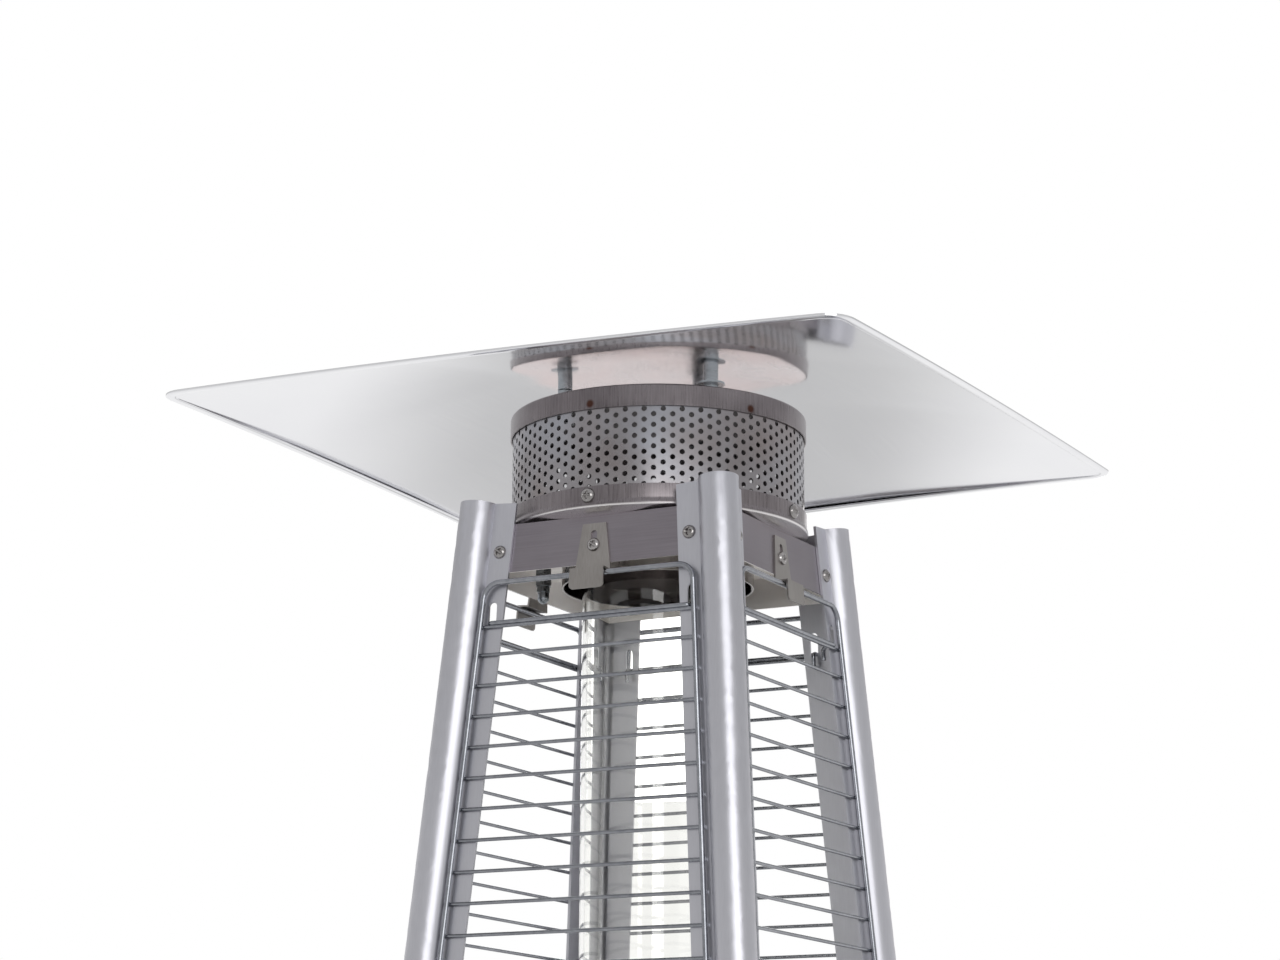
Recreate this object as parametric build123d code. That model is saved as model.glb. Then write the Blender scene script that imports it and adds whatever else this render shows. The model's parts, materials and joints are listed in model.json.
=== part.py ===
# Free-standing gas patio heater in the form of a tall pyramid.
# Four aluminium corner posts lean in from a square base to a small steel box.
# The box carries a round vent drum, and three studs on the drum carry a square reflector.
# Between the posts stand a glass flame tube and four wire guards, over a cabinet
# with a hinged door for the gas bottle.
#
# Frame: origin on the floor under the middle of the heater, +Z up, millimetres.
# The front, with the door and the knob, faces -Y, and the wheels are at +Y.
from build123d import *
import math
import os

os.makedirs("parts", exist_ok=True)

# Heights above the floor
drum_top = 2230.0          # top of the drum's lid
drum_height = 84.0
box_height = 32.7
post_above_box = 14.0
box_top = drum_top - drum_height
box_bottom = box_top - box_height
post_top = box_top + post_above_box    # at the flanges' free edges
deck_top = 880.0           # top of the burner deck
base_top = 60.0
base_bottom = 14.0
kerb_height = 40.0         # upstand that the posts and panels are screwed to

# Widths of the pyramid
base_side = 262.0          # half width of the base
base_margin = 14.0         # from the base's side to the pyramid's faces, at the floor
base_half = base_side - base_margin    # half width of the faces, carried down to the floor
box_half = 89.5            # half width of the faces at the top of the box
taper = (base_half - box_half) / box_top
slope = math.hypot(1, taper)

# Clearances
seat_gap = 0.2             # between sheets that are screwed together
hole_gap = 0.1             # round screws and studs, on the radius
running_gap = 0.05         # round shafts that turn or slide, on the radius
overrun = 5.0              # how far a cutting tool reaches past what it cuts

# Sheet metal
sheet = 1.2
base_sheet = 2.0

# Corner posts
flange_thick = 1.8
flange_reach = 29.5        # from the corner of the faces to the flange's free edge
nose_radius = 13.2
nose_wall = 1.8
nose_inset = 0.2           # the nose's centre lies this far inside both faces
slot_width = 6.0
slot_height = 16.5
slot_from_corner = 21.3

# Pan head screws
screw_radius = 2.0
screw_head_radius = 4.6
screw_head_height = 2.9
screw_dome_share = 0.9     # of the head's height that is rounded
post_screw_from_corner = 21.2
post_screw_length = 7.0
box_screw_rise = 13.9      # above the box's lower edge
deck_screw_drop = 18.0
base_screw_rise = 24.0
post_screw_heights = (box_bottom + box_screw_rise, deck_top - deck_screw_drop, base_top + base_screw_rise)

# Guards
guard_wire = 3.6
guard_bar = 2.4
hanger_wire = 3.0
guard_corner_radius = 11.0
guard_weld = 0.5           # how far welded wires sink into each other
guard_side_from_corner = 16.6
guard_shift = 1.2          # each guard hangs this far to the left in its slots, seen from outside
guard_top_drop = 8.0
guard_above_deck = 19.0
guard_top = box_bottom - guard_top_drop
guard_bottom = deck_top + guard_above_deck
first_bar_drop = 37.0
first_bar = box_bottom - first_bar_drop
first_gap = 18.8
bar_pitch = 20.33
hanger_rise = 2.4
hook_reach = 9.0
hook_drop = 9.0

# Clips that hold the guards' top wires
clip_thick = 1.2
clip_top_drop = 5.7        # below the top of the box
clip_top = box_top - clip_top_drop
clip_top_width = 17.0
clip_bottom_width = 26.5
clip_lip = 14.0
clip_lip_width = 25.0
clip_corner = 3.0
clip_screw_rise = 12.5     # above the box's lower edge
clip_screw_height = box_bottom + clip_screw_rise
clip_screw_length = 8.2
keyhole_width = 4.6
keyhole_rise = 7.5
nut_across_flats = 8.0
nut_height = 4.0
nut_dome = 3.4

# Drum
drum_radius = 100.8
lid_height = 15.0
lid_edge = 2.5
screen_radius = 99.2
screen_thick = 1.0
pan_band_rise = 17.0       # heights above the box
pan_bead_rise = 3.5
drum_screw_rise = 11.0
pan_band_top = box_top + pan_band_rise
pan_bead_height = box_top + pan_bead_rise
drum_screw_height = box_top + drum_screw_rise
pan_bead = 0.9
pan_floor_radius = 95.0
drum_screw_length = 6.0
drum_head_radius = 5.0

# Collar and heat shield under the box
collar_radius = 64.7
collar_flange = 5.0
shield_rise = 20.7         # underside of the heat shield above the box's lower edge
shield_height = box_bottom + shield_rise
collar_tab_width = 14.0
collar_tab_drop = 17.0
collar_tab_angles = (55.0, 175.0, 295.0)   # from +Y towards -X

# Reflector
reflector_half = 243.2
reflector_corner = 17.0
rim_drop = 10.5            # rim's underside below the drum's top
reflector_rim = drum_top - rim_drop
reflector_rise = 31.5      # from the rim up to the middle
reflector_sheet = 1.0
reflector_hem = 7.0
reflector_hem_thick = 1.4
reflector_step_shares = (1.0, 0.82, 0.62, 0.45, 0.29)
reflector_bend_share = 3.5   # exponent of the curve from the middle down to the rim

# Studs that carry the reflector
stud_circle = 64.0
stud_angles = (-60.0, 60.0, 180.0)     # from -Y towards +X
stud_sleeve = 5.0
stud_radius = 2.5
stud_above = 16.0
stud_head_radius = 6.5
stud_head_height = 1.5
washer_radius = 9.5
washer_thick = 1.2
washer_rises = (4.5, 11.5, 11.0)
top_washer_radius = 12.0
wing_nut_radius = 5.5
wing_nut_height = 6.0
wing_span = 26.0
wing_thick = 2.4
wing_height = 12.0

# Bolts that hold the drum on the box, at the studs' angles
bolt_circle = 77.2
bolt_radius = 2.5
standoff_flats = 10.0
standoff_end = 0.9         # above the box's lower edge
bolt_nut_flats = 8.4
bolt_nut_height = 4.0
bolt_nut_barrel = 4.2
bolt_nut_radius = 3.9
bolt_grip = 8.0            # how far a bolt reaches into its nut

# Glass flame tube
glass_radius = 51.0
glass_wall = 2.6
glass_in_box = 7.7
glass_top = box_bottom + glass_in_box
gasket_height = 3.0
seat_height = 13.0
seat_wall = 2.0
seat_flange = 8.0
seat_gap_radial = 0.6

# Burner, below and through the deck
deck_skirt = 32.0
deck_hole = 42.0
burner_radius = 38.0
burner_cup = 34.0
burner_wall = 1.5
venturi_radius = 11.0
venturi_length = 78.0
air_port_share = 1.5       # height of the air ports above the tube's end, of its radius
injector_radius = 6.0
injector_length = 22.0
screen_cap_radius = 31.0
screen_cap_height = 16.0
screen_cap_thick = 1.0
burner_rise = 9.0          # burner rim above the deck

# Pilot group beside the burner
pilot_radius = 3.5
pilot_offset = 22.0        # from the middle, inside the burner cap
probe_radius = 2.0
probe_spread = 9.0
probe_foot_share = 1.2     # foot's radius, of the rod's

# Valve and controls on the front panel
control_drop = 118.0       # from the deck down to the knob's axis
control_panel_drop = 240.0
control_height = deck_top - control_drop
control_bottom = deck_top - control_panel_drop
control_dial_radius = 34.0
dial_thick = 1.6
knob_radius = 22.0
knob_height = 20.0
knob_skirt = 26.0
knob_skirt_height = 4.0
knob_travel = 4.0
knob_air = 0.8             # left between knob and dial when it is pushed in
knob_top_share = 0.86      # knob's top radius, of its radius
knob_bore_share = 0.8      # depth of the stem in the knob, of the knob's height
knob_grooves = 12
groove_circle_share = 1.02
stem_radius = 4.0
stem_length = 36.0
stem_collar = 7.0
valve_width = 46.0
valve_height = 64.0
valve_depth = 34.0
valve_back = 6.0           # from the panel's back to the valve body
valve_neck = 9.0
inlet_radius = 6.5
inlet_length = 20.0
inlet_barb = 5.0
pipe_radius = 4.0
pipe_bend = 16.0
pipe_rise = 25.0           # straight run out of the valve
button_from_knob = 92.0
button_radius = 7.0
button_proud = 9.0
button_travel = 5.0
igniter_radius = 11.0
igniter_length = 42.0
igniter_bezel = 14.0
igniter_bezel_thick = 3.0

# Tilt switch in the cabinet
tilt_size = 26.0
tilt_height = 30.0

# Door
door_end_gap = 3.5         # above and below the door
door_top = control_bottom - door_end_gap
door_bottom = base_top + kerb_height + door_end_gap
door_gap = 3.0
door_depth = 12.0
hinge_from_edge = 10.0
hinge_depth = 8.2
hinge_pin_radius = 2.5
hinge_pin_reach = 6.0
hinge_collar_radius = 4.5
hinge_collar_gap = 0.6
handle_above_middle = 30.0
handle_height = (door_top + door_bottom) / 2 + handle_above_middle
handle_length = 130.0
handle_radius = 5.0
handle_stand = 26.0
handle_from_edge = 30.0
latch_radius = 4.0
latch_knob_radius = 11.0
latch_knob_height = 9.0
latch_grip = 6.0
latch_grip_share = 0.9     # grip's length, of the knob's diameter
latch_below_top = 20.0
latch_cam_length = 31.0
latch_cam_width = 12.0
latch_cam_thick = 2.5
latch_air = 1.0

# Base
base_corner = 22.0
foot_radius = 16.0
foot_inset = 34.0
foot_pad = 10.0
floor_hole = 60.0
anchor_radius = 4.5
anchor_inset = 60.0

# Wheels
wheel_radius = 50.0
tyre_thick = 9.0
wheel_width = 24.0
wheel_lift = 3.0           # tyres' clearance from the floor
axle_radius = 5.0
axle_half = 172.0
wheel_mid = 148.0          # from the middle plane to a wheel's middle
hub_radius = 14.0
hub_half = 14.0
rim_wall = 4.0
web_thick = 5.0
web_holes = 5
bracket_thick = 3.0
bracket_arm = 124.0        # from the middle plane to an arm's middle
bracket_height = 34.0
bracket_margin = 12.0
cap_radius = 9.0
cap_height = 6.0
cap_pocket = 4.0

# Side panels
panel_from_corner = 5.0


def half(z):
    # half width of the pyramid's faces at a height
    return base_half - taper * z


def up(z):
    # distance along a face from the floor to a height
    return z * slope


# The front face: local x is world X, local y runs up the slope, local z points outwards
face = Plane(origin=(0, -base_half, 0), x_dir=(1, 0, 0), z_dir=(0, -1, taper))


def on_face(x, z, out=0.0):
    # a place on the front face, with its own axes along the face's
    return face * Pos(x, up(z), out)


def turned(shape, quarter):
    # the same shape on another side: 0 front, 1 right, 2 back, 3 left
    return Rot(0, 0, 90 * quarter) * shape


def corner_point(z, inset=0.0):
    side = half(z) - inset
    return Vector(side, side, z)


def cylinder(radius, height):
    return Cylinder(radius, height, align=(Align.CENTER, Align.CENTER, Align.MIN))


def tube(outer, inner, height):
    return cylinder(outer, height) - Pos(0, 0, -overrun) * cylinder(inner, height + 2 * overrun)


def frustum(z0, z1, inset, corner):
    # solid square frustum that follows the faces, inset from them
    low = Plane.XY.offset(z0) * RectangleRounded(2 * (half(z0) - inset), 2 * (half(z0) - inset), corner)
    high = Plane.XY.offset(z1) * RectangleRounded(2 * (half(z1) - inset), 2 * (half(z1) - inset), corner)
    return loft([low, high], ruled=True)


def trapezoid(z0, z1, margin, out, thick):
    # flat sheet on the front face, from `out` inwards by `thick`
    low, high = half(z0) - margin, half(z1) - margin
    outline = Polygon((-low, up(z0)), (low, up(z0)), (high, up(z1)), (-high, up(z1)), align=None)
    return extrude(face.offset(out) * outline, amount=-thick)


def wire_path(path, radius):
    # round wire along a path, with its section square to the path's start
    return sweep((path ^ 0) * Circle(radius), path=path)


def screw(length, head_radius=screw_head_radius, radius=screw_radius):
    # pan head screw that points along -z, its head standing on z = 0
    dome = screw_head_height * screw_dome_share
    head = cylinder(head_radius, screw_head_height)
    head = fillet(head.edges().sort_by(Axis.Z)[-1], dome)
    return head + Pos(0, 0, -length) * cylinder(radius, length)


def screw_hole(depth):
    return Pos(0, 0, -depth) * cylinder(screw_radius + hole_gap, depth + overrun)


def both_sides(x, z, out):
    return [on_face(-x, z, out), on_face(x, z, out)]


def post_screw_places():
    out = seat_gap + flange_thick
    return [place for z in post_screw_heights
            for place in both_sides(half(z) - post_screw_from_corner, z, out)]


def cut_at(shape, places, cutter, quarters=(0, 1, 2, 3)):
    for quarter in quarters:
        for place in places:
            shape -= turned(place * cutter, quarter)
    return shape


def save(shape, name):
    # write one node; several pieces go out as a group of separate solids
    solids = shape.solids()
    body = solids[0] if len(solids) == 1 else Compound(children=list(solids))
    export_step(body, f"parts/{name}.step")


def save_group(shapes, name):
    solids = [solid for shape in shapes for solid in shape.solids()]
    export_step(Compound(children=solids), f"parts/{name}.step")


# Corner posts: one open nose section with two flanges, drawn at the (+X, +Y) corner
def post_section():
    inner = seat_gap * slope
    outer = (seat_gap + flange_thick) * slope
    ring = Circle(nose_radius) - Circle(nose_radius - nose_wall)
    ring = Pos(-nose_inset, -nose_inset) * ring
    reach = flange_reach - nose_radius / 2
    middle = -(flange_reach + nose_radius / 2) / 2
    leaf = Pos((inner + outer) / 2, middle) * Rectangle(outer - inner, reach)
    other = Pos(middle, (inner + outer) / 2) * Rectangle(reach, outer - inner)
    room = Pos(inner, inner) * Rectangle(3 * flange_reach, 3 * flange_reach, align=(Align.MAX, Align.MAX))
    return (ring - room) + leaf + other


def post(quarter):
    start = corner_point(base_top)
    length = (post_top + nose_radius - base_top) * math.sqrt(1 + 2 * taper ** 2)
    section = Pos(start.X, start.Y, start.Z) * post_section()
    blank = extrude(section, amount=length, dir=(-taper, -taper, 1))
    # the top is cut square to the post, which leans
    edge = corner_point(post_top) - Vector(flange_reach, 0, 0)
    blank = split(blank, bisect_by=Plane(origin=edge, z_dir=(-taper, -taper, 1)), keep=Keep.BOTTOM)
    # slots for the guards' hooks and holes for the screws, on the two faces of this post
    for hook_z in hook_heights():
        middle = hook_z - hanger_wire / 2 - seat_gap + slot_height / 2
        slot = SlotOverall(slot_height, slot_width, rotation=90)
        cutter = extrude(slot, amount=2 * flange_thick, both=True)
        blank = cut_at(blank, both_sides(half(middle) - slot_from_corner, middle, 0), cutter, (1, 2))
    blank = cut_at(blank, post_screw_places(), screw_hole(3 * flange_thick), (1, 2))
    return turned(blank, quarter)


# Guards: a welded wire frame with crossbars and two hook wires, drawn on the front
def guard():
    flange_face = seat_gap + flange_thick
    bar_out = flange_face + seat_gap + guard_bar / 2
    frame_out = bar_out + guard_bar / 2 + guard_wire / 2 - guard_weld

    def side(z):
        return half(z) - guard_side_from_corner

    top, low = side(guard_top), side(guard_bottom)
    corners = [(-low, up(guard_bottom)), (low, up(guard_bottom)), (top, up(guard_top)), (-top, up(guard_top))]
    loop = FilletPolyline(*corners, radius=guard_corner_radius, close=True)
    result = wire_path(face.offset(frame_out) * loop, guard_wire / 2)
    rods = []
    for z in bar_heights():
        reach = side(z) + guard_wire / 4
        rods.append(on_face(0, z, bar_out) * Rot(0, 90, 0) * Cylinder(guard_bar / 2, 2 * reach))
    # each hook wire runs beside the first or last crossbar and ends in two hooks
    for z in hook_heights():
        rods.append(hook_wire(z, flange_face + seat_gap + hanger_wire / 2))
    return Pos(-guard_shift, 0, 0) * result.fuse(*rods)


def bar_heights():
    second = first_bar - first_gap
    bars = int((second - guard_bottom - guard_wire) / bar_pitch) + 1
    return [first_bar] + [second - bar_pitch * i for i in range(bars)]


def hook_heights():
    heights = bar_heights()
    return heights[0] + hanger_rise, heights[-1] + hanger_rise


def hook_wire(z, out):
    reach = half(z) - slot_from_corner
    inside = out - hook_reach
    points = [(-reach, -hook_drop, inside), (-reach, 0, inside), (-reach, 0, out),
              (reach, 0, out), (reach, 0, inside), (reach, -hook_drop, inside)]
    route = FilletPolyline(*points, radius=hanger_wire)
    return wire_path(on_face(0, z) * route, hanger_wire / 2)


# Clips: a tapered plate on the box, a ledge over the guard's top wire and a lip in front of it
clip_ledge = guard_top + (guard_wire / 2 + seat_gap) / slope


def clip():
    flange_face = seat_gap + flange_thick
    reach = flange_face + 2 * seat_gap + guard_bar + guard_wire + clip_thick
    plate = Polygon((-clip_bottom_width / 2, up(clip_ledge)), (clip_bottom_width / 2, up(clip_ledge)),
                    (clip_top_width / 2, up(clip_top)), (-clip_top_width / 2, up(clip_top)), align=None)
    body = extrude(face * plate, amount=clip_thick)
    ledge = Box(clip_lip_width, clip_thick, reach, align=(Align.CENTER, Align.MAX, Align.MIN))
    lip = RectangleRounded(clip_lip_width, clip_lip, clip_corner)
    body += on_face(0, clip_ledge) * Pos(0, clip_thick, 0) * ledge
    drop = extrude(Pos(0, clip_thick - clip_lip / 2) * lip, amount=clip_thick)
    body += on_face(0, clip_ledge, reach - clip_thick) * drop
    keyhole = SlotOverall(keyhole_rise + keyhole_width, keyhole_width, rotation=90)
    body -= on_face(0, clip_screw_height + keyhole_rise / 2) * extrude(keyhole, amount=2 * clip_thick)
    return body


def cap_nut():
    # domed nut that points along -z, its seat on z = 0
    hexagon = extrude(RegularPolygon(nut_across_flats / 2, 6, major_radius=False), amount=-nut_height)
    dome = Pos(0, 0, -nut_height) * Sphere(nut_dome)
    return hexagon + (dome - Pos(0, 0, -nut_height) * cylinder(2 * nut_dome, nut_dome + overrun))


clip_screw_place = on_face(0, clip_screw_height, clip_thick)
nut_place = on_face(0, clip_screw_height, -sheet)


# Box that the posts, the clips and the drum are screwed to
def top_box():
    shell = frustum(box_bottom, box_top, 0, 2 * sheet)
    shell -= frustum(box_bottom - overrun, box_top - sheet, sheet * slope, sheet)
    shell -= Pos(0, 0, box_bottom) * cylinder(collar_radius + seat_gap, box_top)
    shell = cut_bolt_holes(shell, box_top)
    shell = cut_at(shell, [clip_screw_place], screw_hole(4 * sheet))
    return cut_at(shell, both_sides(half(post_screw_heights[0]) - post_screw_from_corner,
                                    post_screw_heights[0], flange_thick), screw_hole(4 * sheet))


# Collar: a short tube hung in the box, with the heat shield and the glass tabs
def collar():
    pan_floor_top = box_top + sheet
    body = Pos(0, 0, box_bottom) * tube(collar_radius, collar_radius - sheet, pan_floor_top - box_bottom)
    body += Pos(0, 0, pan_floor_top) * tube(collar_radius + collar_flange, collar_radius - sheet, sheet)
    shield = frustum(shield_height, shield_height + sheet, (sheet + seat_gap) * slope, sheet)
    body += shield - Pos(0, 0, shield_height - overrun) * cylinder(collar_radius - sheet, 3 * overrun)
    for angle in collar_tab_angles:
        tab = Box(collar_tab_width, sheet, collar_tab_drop, align=(Align.CENTER, Align.MAX, Align.MIN))
        body += Rot(0, 0, angle) * Pos(0, collar_radius - sheet / 2, box_bottom) * Pos(0, 0, seat_gap) * tab
    return cut_bolt_holes(body, shield_height)


# Drum: pan, perforated screen and lid
def drum_pan():
    r, z = drum_radius, box_top
    outer = [(collar_radius + seat_gap, z), (pan_floor_radius, z), (r + pan_bead, pan_bead_height),
             (r, pan_bead_height + 2 * sheet), (r, pan_band_top)]
    inner = [(r - sheet, pan_band_top), (r - sheet, pan_bead_height + 2 * sheet),
             (r + pan_bead - sheet, pan_bead_height + sheet / 2), (pan_floor_radius - sheet / 2, z + sheet),
             (collar_radius + seat_gap, z + sheet)]
    profile = Plane.XZ * Polygon(*(outer + inner), align=None)
    body = cut_bolt_holes(revolve(profile, axis=Axis.Z), box_top)
    return cut_at(body, [drum_screw_place()], screw_hole(drum_screw_length))


def drum_screw_place():
    return Pos(0, -drum_radius, drum_screw_height) * Rot(90, 0, 0)


def perforated_screen():
    low = pan_bead_height + 2 * sheet
    body = Pos(0, 0, low) * tube(screen_radius, screen_radius - screen_thick, drum_top - sheet - low)
    return cut_at(body, [drum_screw_place()], screw_hole(drum_screw_length))


def drum_lid():
    body = Pos(0, 0, drum_top - lid_height) * cylinder(drum_radius, lid_height)
    body = fillet(body.edges().sort_by(Axis.Z)[-1], lid_edge)
    room = cylinder(drum_radius - sheet, lid_height + overrun - sheet)
    body -= Pos(0, 0, drum_top - lid_height - overrun) * room
    for angle in stud_angles:
        body -= stud_place(angle, drum_top - 2 * overrun) * cylinder(stud_radius + hole_gap, 4 * overrun)
    return body


def stud_place(angle, z):
    return Rot(0, 0, angle) * Pos(0, -stud_circle, z)


# Three bolts through the pan, the box and the heat shield, each with a hexagonal standoff and a domed nut
standoff_low = box_bottom + standoff_end


def bolt_place(angle, z):
    return Rot(0, 0, angle) * Pos(0, -bolt_circle, z)


def cut_bolt_holes(shape, z):
    for angle in stud_angles:
        shape -= bolt_place(angle, z - overrun) * cylinder(bolt_radius + hole_gap, 2 * overrun)
    return shape


def drum_bolt(angle):
    seat = box_top + sheet
    return bolt_place(angle, seat) * screw(seat - standoff_low + bolt_grip, screw_head_radius, bolt_radius)


def drum_standoff(angle):
    length = shield_height - standoff_low
    hexagon = extrude(RegularPolygon(standoff_flats / 2, 6, major_radius=False), amount=length)
    return bolt_place(angle, standoff_low) * (hexagon - Pos(0, 0, -overrun) * cylinder(
        bolt_radius + hole_gap, length + 2 * overrun))


def drum_nut(angle):
    low = -bolt_nut_height - bolt_nut_barrel
    body = extrude(RegularPolygon(bolt_nut_flats / 2, 6, major_radius=False), amount=-bolt_nut_height)
    body += Pos(0, 0, low) * cylinder(bolt_nut_radius, bolt_nut_barrel)
    body += Pos(0, 0, low) * Sphere(bolt_nut_radius)
    depth = bolt_grip + hole_gap
    return bolt_place(angle, standoff_low) * (body - Pos(0, 0, -depth) * cylinder(
        bolt_radius + hole_gap, depth + overrun))


# Reflector: a shallow square dish, hollow side down, with a hem folded under its rim
def reflector_level(share):
    return reflector_rise * (1 - share ** reflector_bend_share)


def reflector_block(drop):
    rings = []
    for share in reflector_step_shares:
        side = 2 * reflector_half * share
        plane = Plane.XY.offset(reflector_rim + reflector_level(share) - drop)
        rings.append(plane * RectangleRounded(side, side, reflector_corner * share))
    return loft(rings, ruled=True)


def reflector():
    top = reflector_sheet + reflector_rim + reflector_level(reflector_step_shares[-1])
    body = Pos(0, 0, reflector_sheet) * reflector_block(0) - reflector_block(0)
    side = 2 * reflector_half
    edge = RectangleRounded(side, side, reflector_corner)
    inner = side - 2 * reflector_hem
    hole = RectangleRounded(inner, inner, reflector_corner - reflector_hem / 2)
    body += Pos(0, 0, reflector_rim) * extrude(edge - hole, amount=reflector_hem_thick)
    for angle in stud_angles:
        body -= stud_place(angle, top - 2 * overrun) * cylinder(stud_radius + hole_gap, 4 * overrun)
    return body


reflector_under = reflector_rim + reflector_level(reflector_step_shares[-1])


def reflector_post(angle):
    sleeve = stud_place(angle, drum_top) * cylinder(stud_sleeve, reflector_under - drum_top)
    low = drum_top - sheet - stud_head_height
    rod = stud_place(angle, low) * cylinder(stud_radius, reflector_under + stud_above - low)
    head = stud_place(angle, low) * cylinder(stud_head_radius, stud_head_height)
    return sleeve + rod + head


def post_washer(angle, rise):
    return stud_place(angle, drum_top + rise) * tube(washer_radius, stud_sleeve + hole_gap, washer_thick)


def top_washer(angle):
    z = reflector_under + reflector_sheet
    return stud_place(angle, z) * tube(top_washer_radius, stud_radius + hole_gap, washer_thick)


def wing_nut(angle):
    z = reflector_under + reflector_sheet + washer_thick
    hub = cylinder(wing_nut_radius, wing_nut_height)
    ear = Pos(wing_span / 4, 0, wing_nut_height / 2) * Box(
        wing_span / 2, wing_thick, wing_height, align=(Align.CENTER, Align.CENTER, Align.MIN))
    ear = fillet(ear.edges().filter_by(Axis.Y), wing_thick)
    body = hub + ear + Rot(0, 0, 180) * ear
    bore = Pos(0, 0, -overrun) * cylinder(stud_radius + hole_gap, wing_height + 3 * overrun)
    return stud_place(angle, z) * (body - bore)


# Glass tube on its gasket and seat
def glass_seat():
    wall = glass_radius + seat_gap_radial
    cup = tube(wall + seat_wall, wall, seat_height)
    foot = tube(wall + seat_wall + seat_flange, deck_hole + seat_wall, seat_wall)
    return Pos(0, 0, deck_top) * (cup + foot)


def glass_gasket():
    return Pos(0, 0, deck_top + seat_wall) * tube(glass_radius, glass_radius - 2 * glass_wall, gasket_height)


def glass_tube():
    low = deck_top + seat_wall + gasket_height
    return Pos(0, 0, low) * tube(glass_radius, glass_radius - glass_wall, glass_top - low)


# Burner deck: a square pan that closes the cabinet and carries burner and glass
def burner_deck():
    inset = (sheet + seat_gap) * slope
    shell = frustum(deck_top - deck_skirt, deck_top, inset, 2 * sheet)
    shell -= frustum(deck_top - deck_skirt - overrun, deck_top - base_sheet, inset + base_sheet * slope, sheet)
    shell -= Pos(0, 0, deck_top - deck_skirt) * cylinder(deck_hole, 2 * deck_skirt)
    z = post_screw_heights[1]
    return cut_at(shell, both_sides(half(z) - post_screw_from_corner, z, flange_thick),
                  screw_hole(flange_thick + sheet + 3 * base_sheet))


# Burner: cup with a flat rim that hangs in the deck, throat, mixing tube and injector
def burner():
    rim_z = deck_top + burner_rise
    cup_low = rim_z - burner_cup
    cup = Pos(0, 0, cup_low) * (cylinder(burner_radius, burner_cup)
                                - Pos(0, 0, burner_wall) * cylinder(burner_radius - burner_wall, burner_cup))
    hanger = Pos(0, 0, deck_top) * tube(deck_hole + seat_wall - seat_gap, burner_radius - burner_wall,
                                        seat_wall / 2)
    lip = Pos(0, 0, deck_top - base_sheet) * tube(deck_hole - seat_gap, burner_radius - burner_wall, base_sheet)
    body = cup + hanger + lip
    body += Pos(0, 0, cup_low - venturi_length) * cylinder(venturi_radius, venturi_length)
    body -= Pos(0, 0, cup_low - venturi_length - overrun) * cylinder(
        venturi_radius - burner_wall, venturi_length + 2 * overrun)
    ports = Box(3 * venturi_radius, venturi_radius, venturi_radius)
    return body - Pos(0, 0, cup_low - venturi_length + air_port_share * venturi_radius) * ports


def injector():
    low = deck_top + burner_rise - burner_cup - venturi_length
    nut = extrude(RegularPolygon(venturi_radius - 2 * burner_wall, 6), amount=injector_length / 2)
    tip = cylinder(injector_radius, injector_length / 2)
    plug = cylinder(venturi_radius - burner_wall, burner_wall * 2)
    body = Pos(0, 0, low - injector_length / 2) * nut
    body += Pos(0, 0, low) * plug + Pos(0, 0, low) * tip
    return body


def burner_screen():
    z = deck_top + burner_rise
    seat = tube(burner_radius, screen_cap_radius - screen_cap_thick, screen_cap_thick)
    wall = tube(screen_cap_radius, screen_cap_radius - screen_cap_thick, screen_cap_height)
    roof = Pos(0, 0, screen_cap_height - screen_cap_thick) * cylinder(screen_cap_radius, screen_cap_thick)
    cap = Pos(0, 0, z) * (seat + wall + roof)
    for i in range(3):
        cap -= pilot_place(i, z) * cylinder(pilot_radius + running_gap * 2, 2 * screen_cap_height)
    return cap


def pilot_place(index, z):
    return Pos(pilot_offset - abs(index - 1), (index - 1) * probe_spread, z)


def probe(index, radius, rise):
    # an upright rod through the burner's screen, standing on the floor of its cup
    cup_floor = deck_top + burner_rise - burner_cup + burner_wall
    top = deck_top + burner_rise + screen_cap_height + rise
    body = pilot_place(index, cup_floor) * cylinder(radius, top - cup_floor)
    foot = pilot_place(index, cup_floor) * cylinder(radius * probe_foot_share, radius)
    return body + foot


# Controls on the front: panel, dial, valve, stem, knob, igniter
control_place = on_face(0, control_height)
button_place = on_face(button_from_knob, control_height)


def control_panel():
    panel = trapezoid(control_bottom, deck_top, panel_from_corner, 0, sheet)
    ledge_half = half(control_bottom) - flange_reach - door_gap
    ledge = Box(2 * ledge_half, sheet, ledge_depth(), align=(Align.CENTER, Align.MIN, Align.MAX))
    panel += on_face(0, control_bottom) * ledge
    panel -= control_place * Pos(0, 0, -overrun) * cylinder(stem_collar + hole_gap, 2 * overrun)
    panel -= button_place * Pos(0, 0, -overrun) * cylinder(igniter_radius + hole_gap, 2 * overrun)
    panel -= hinge_place(control_bottom) * Pos(0, 0, -overrun) * cylinder(
        hinge_pin_radius + hole_gap, 3 * overrun)
    return cut_panel_holes(panel)


def dial_plate():
    disc = cylinder(control_dial_radius, dial_thick)
    return control_place * (disc - Pos(0, 0, -overrun) * cylinder(stem_collar + hole_gap, 3 * overrun))


def valve():
    body = Pos(0, 0, -valve_back - valve_depth) * Box(
        valve_width, valve_height, valve_depth, align=(Align.CENTER, Align.CENTER, Align.MIN))
    body = fillet(body.edges().filter_by(Axis.Z), valve_back)
    neck = Pos(0, 0, -valve_back) * cylinder(valve_neck, valve_back - sheet)
    bore_depth = stem_length - knob_height
    body += neck
    body -= Pos(0, 0, -bore_depth - valve_back) * cylinder(stem_radius + running_gap,
                                                           bore_depth + 3 * valve_back)
    inlet = Pos(0, -valve_height / 2, -valve_back - valve_depth / 2) * Rot(90, 0, 0)
    spout = cylinder(inlet_radius, inlet_length / 2) + cylinder(inlet_barb, inlet_length)
    outlet = Pos(0, valve_height / 2, -valve_back - valve_depth / 2) * Rot(-90, 0, 0)
    body += inlet * spout + outlet * cylinder(inlet_radius, overrun)
    return control_place * body


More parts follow.
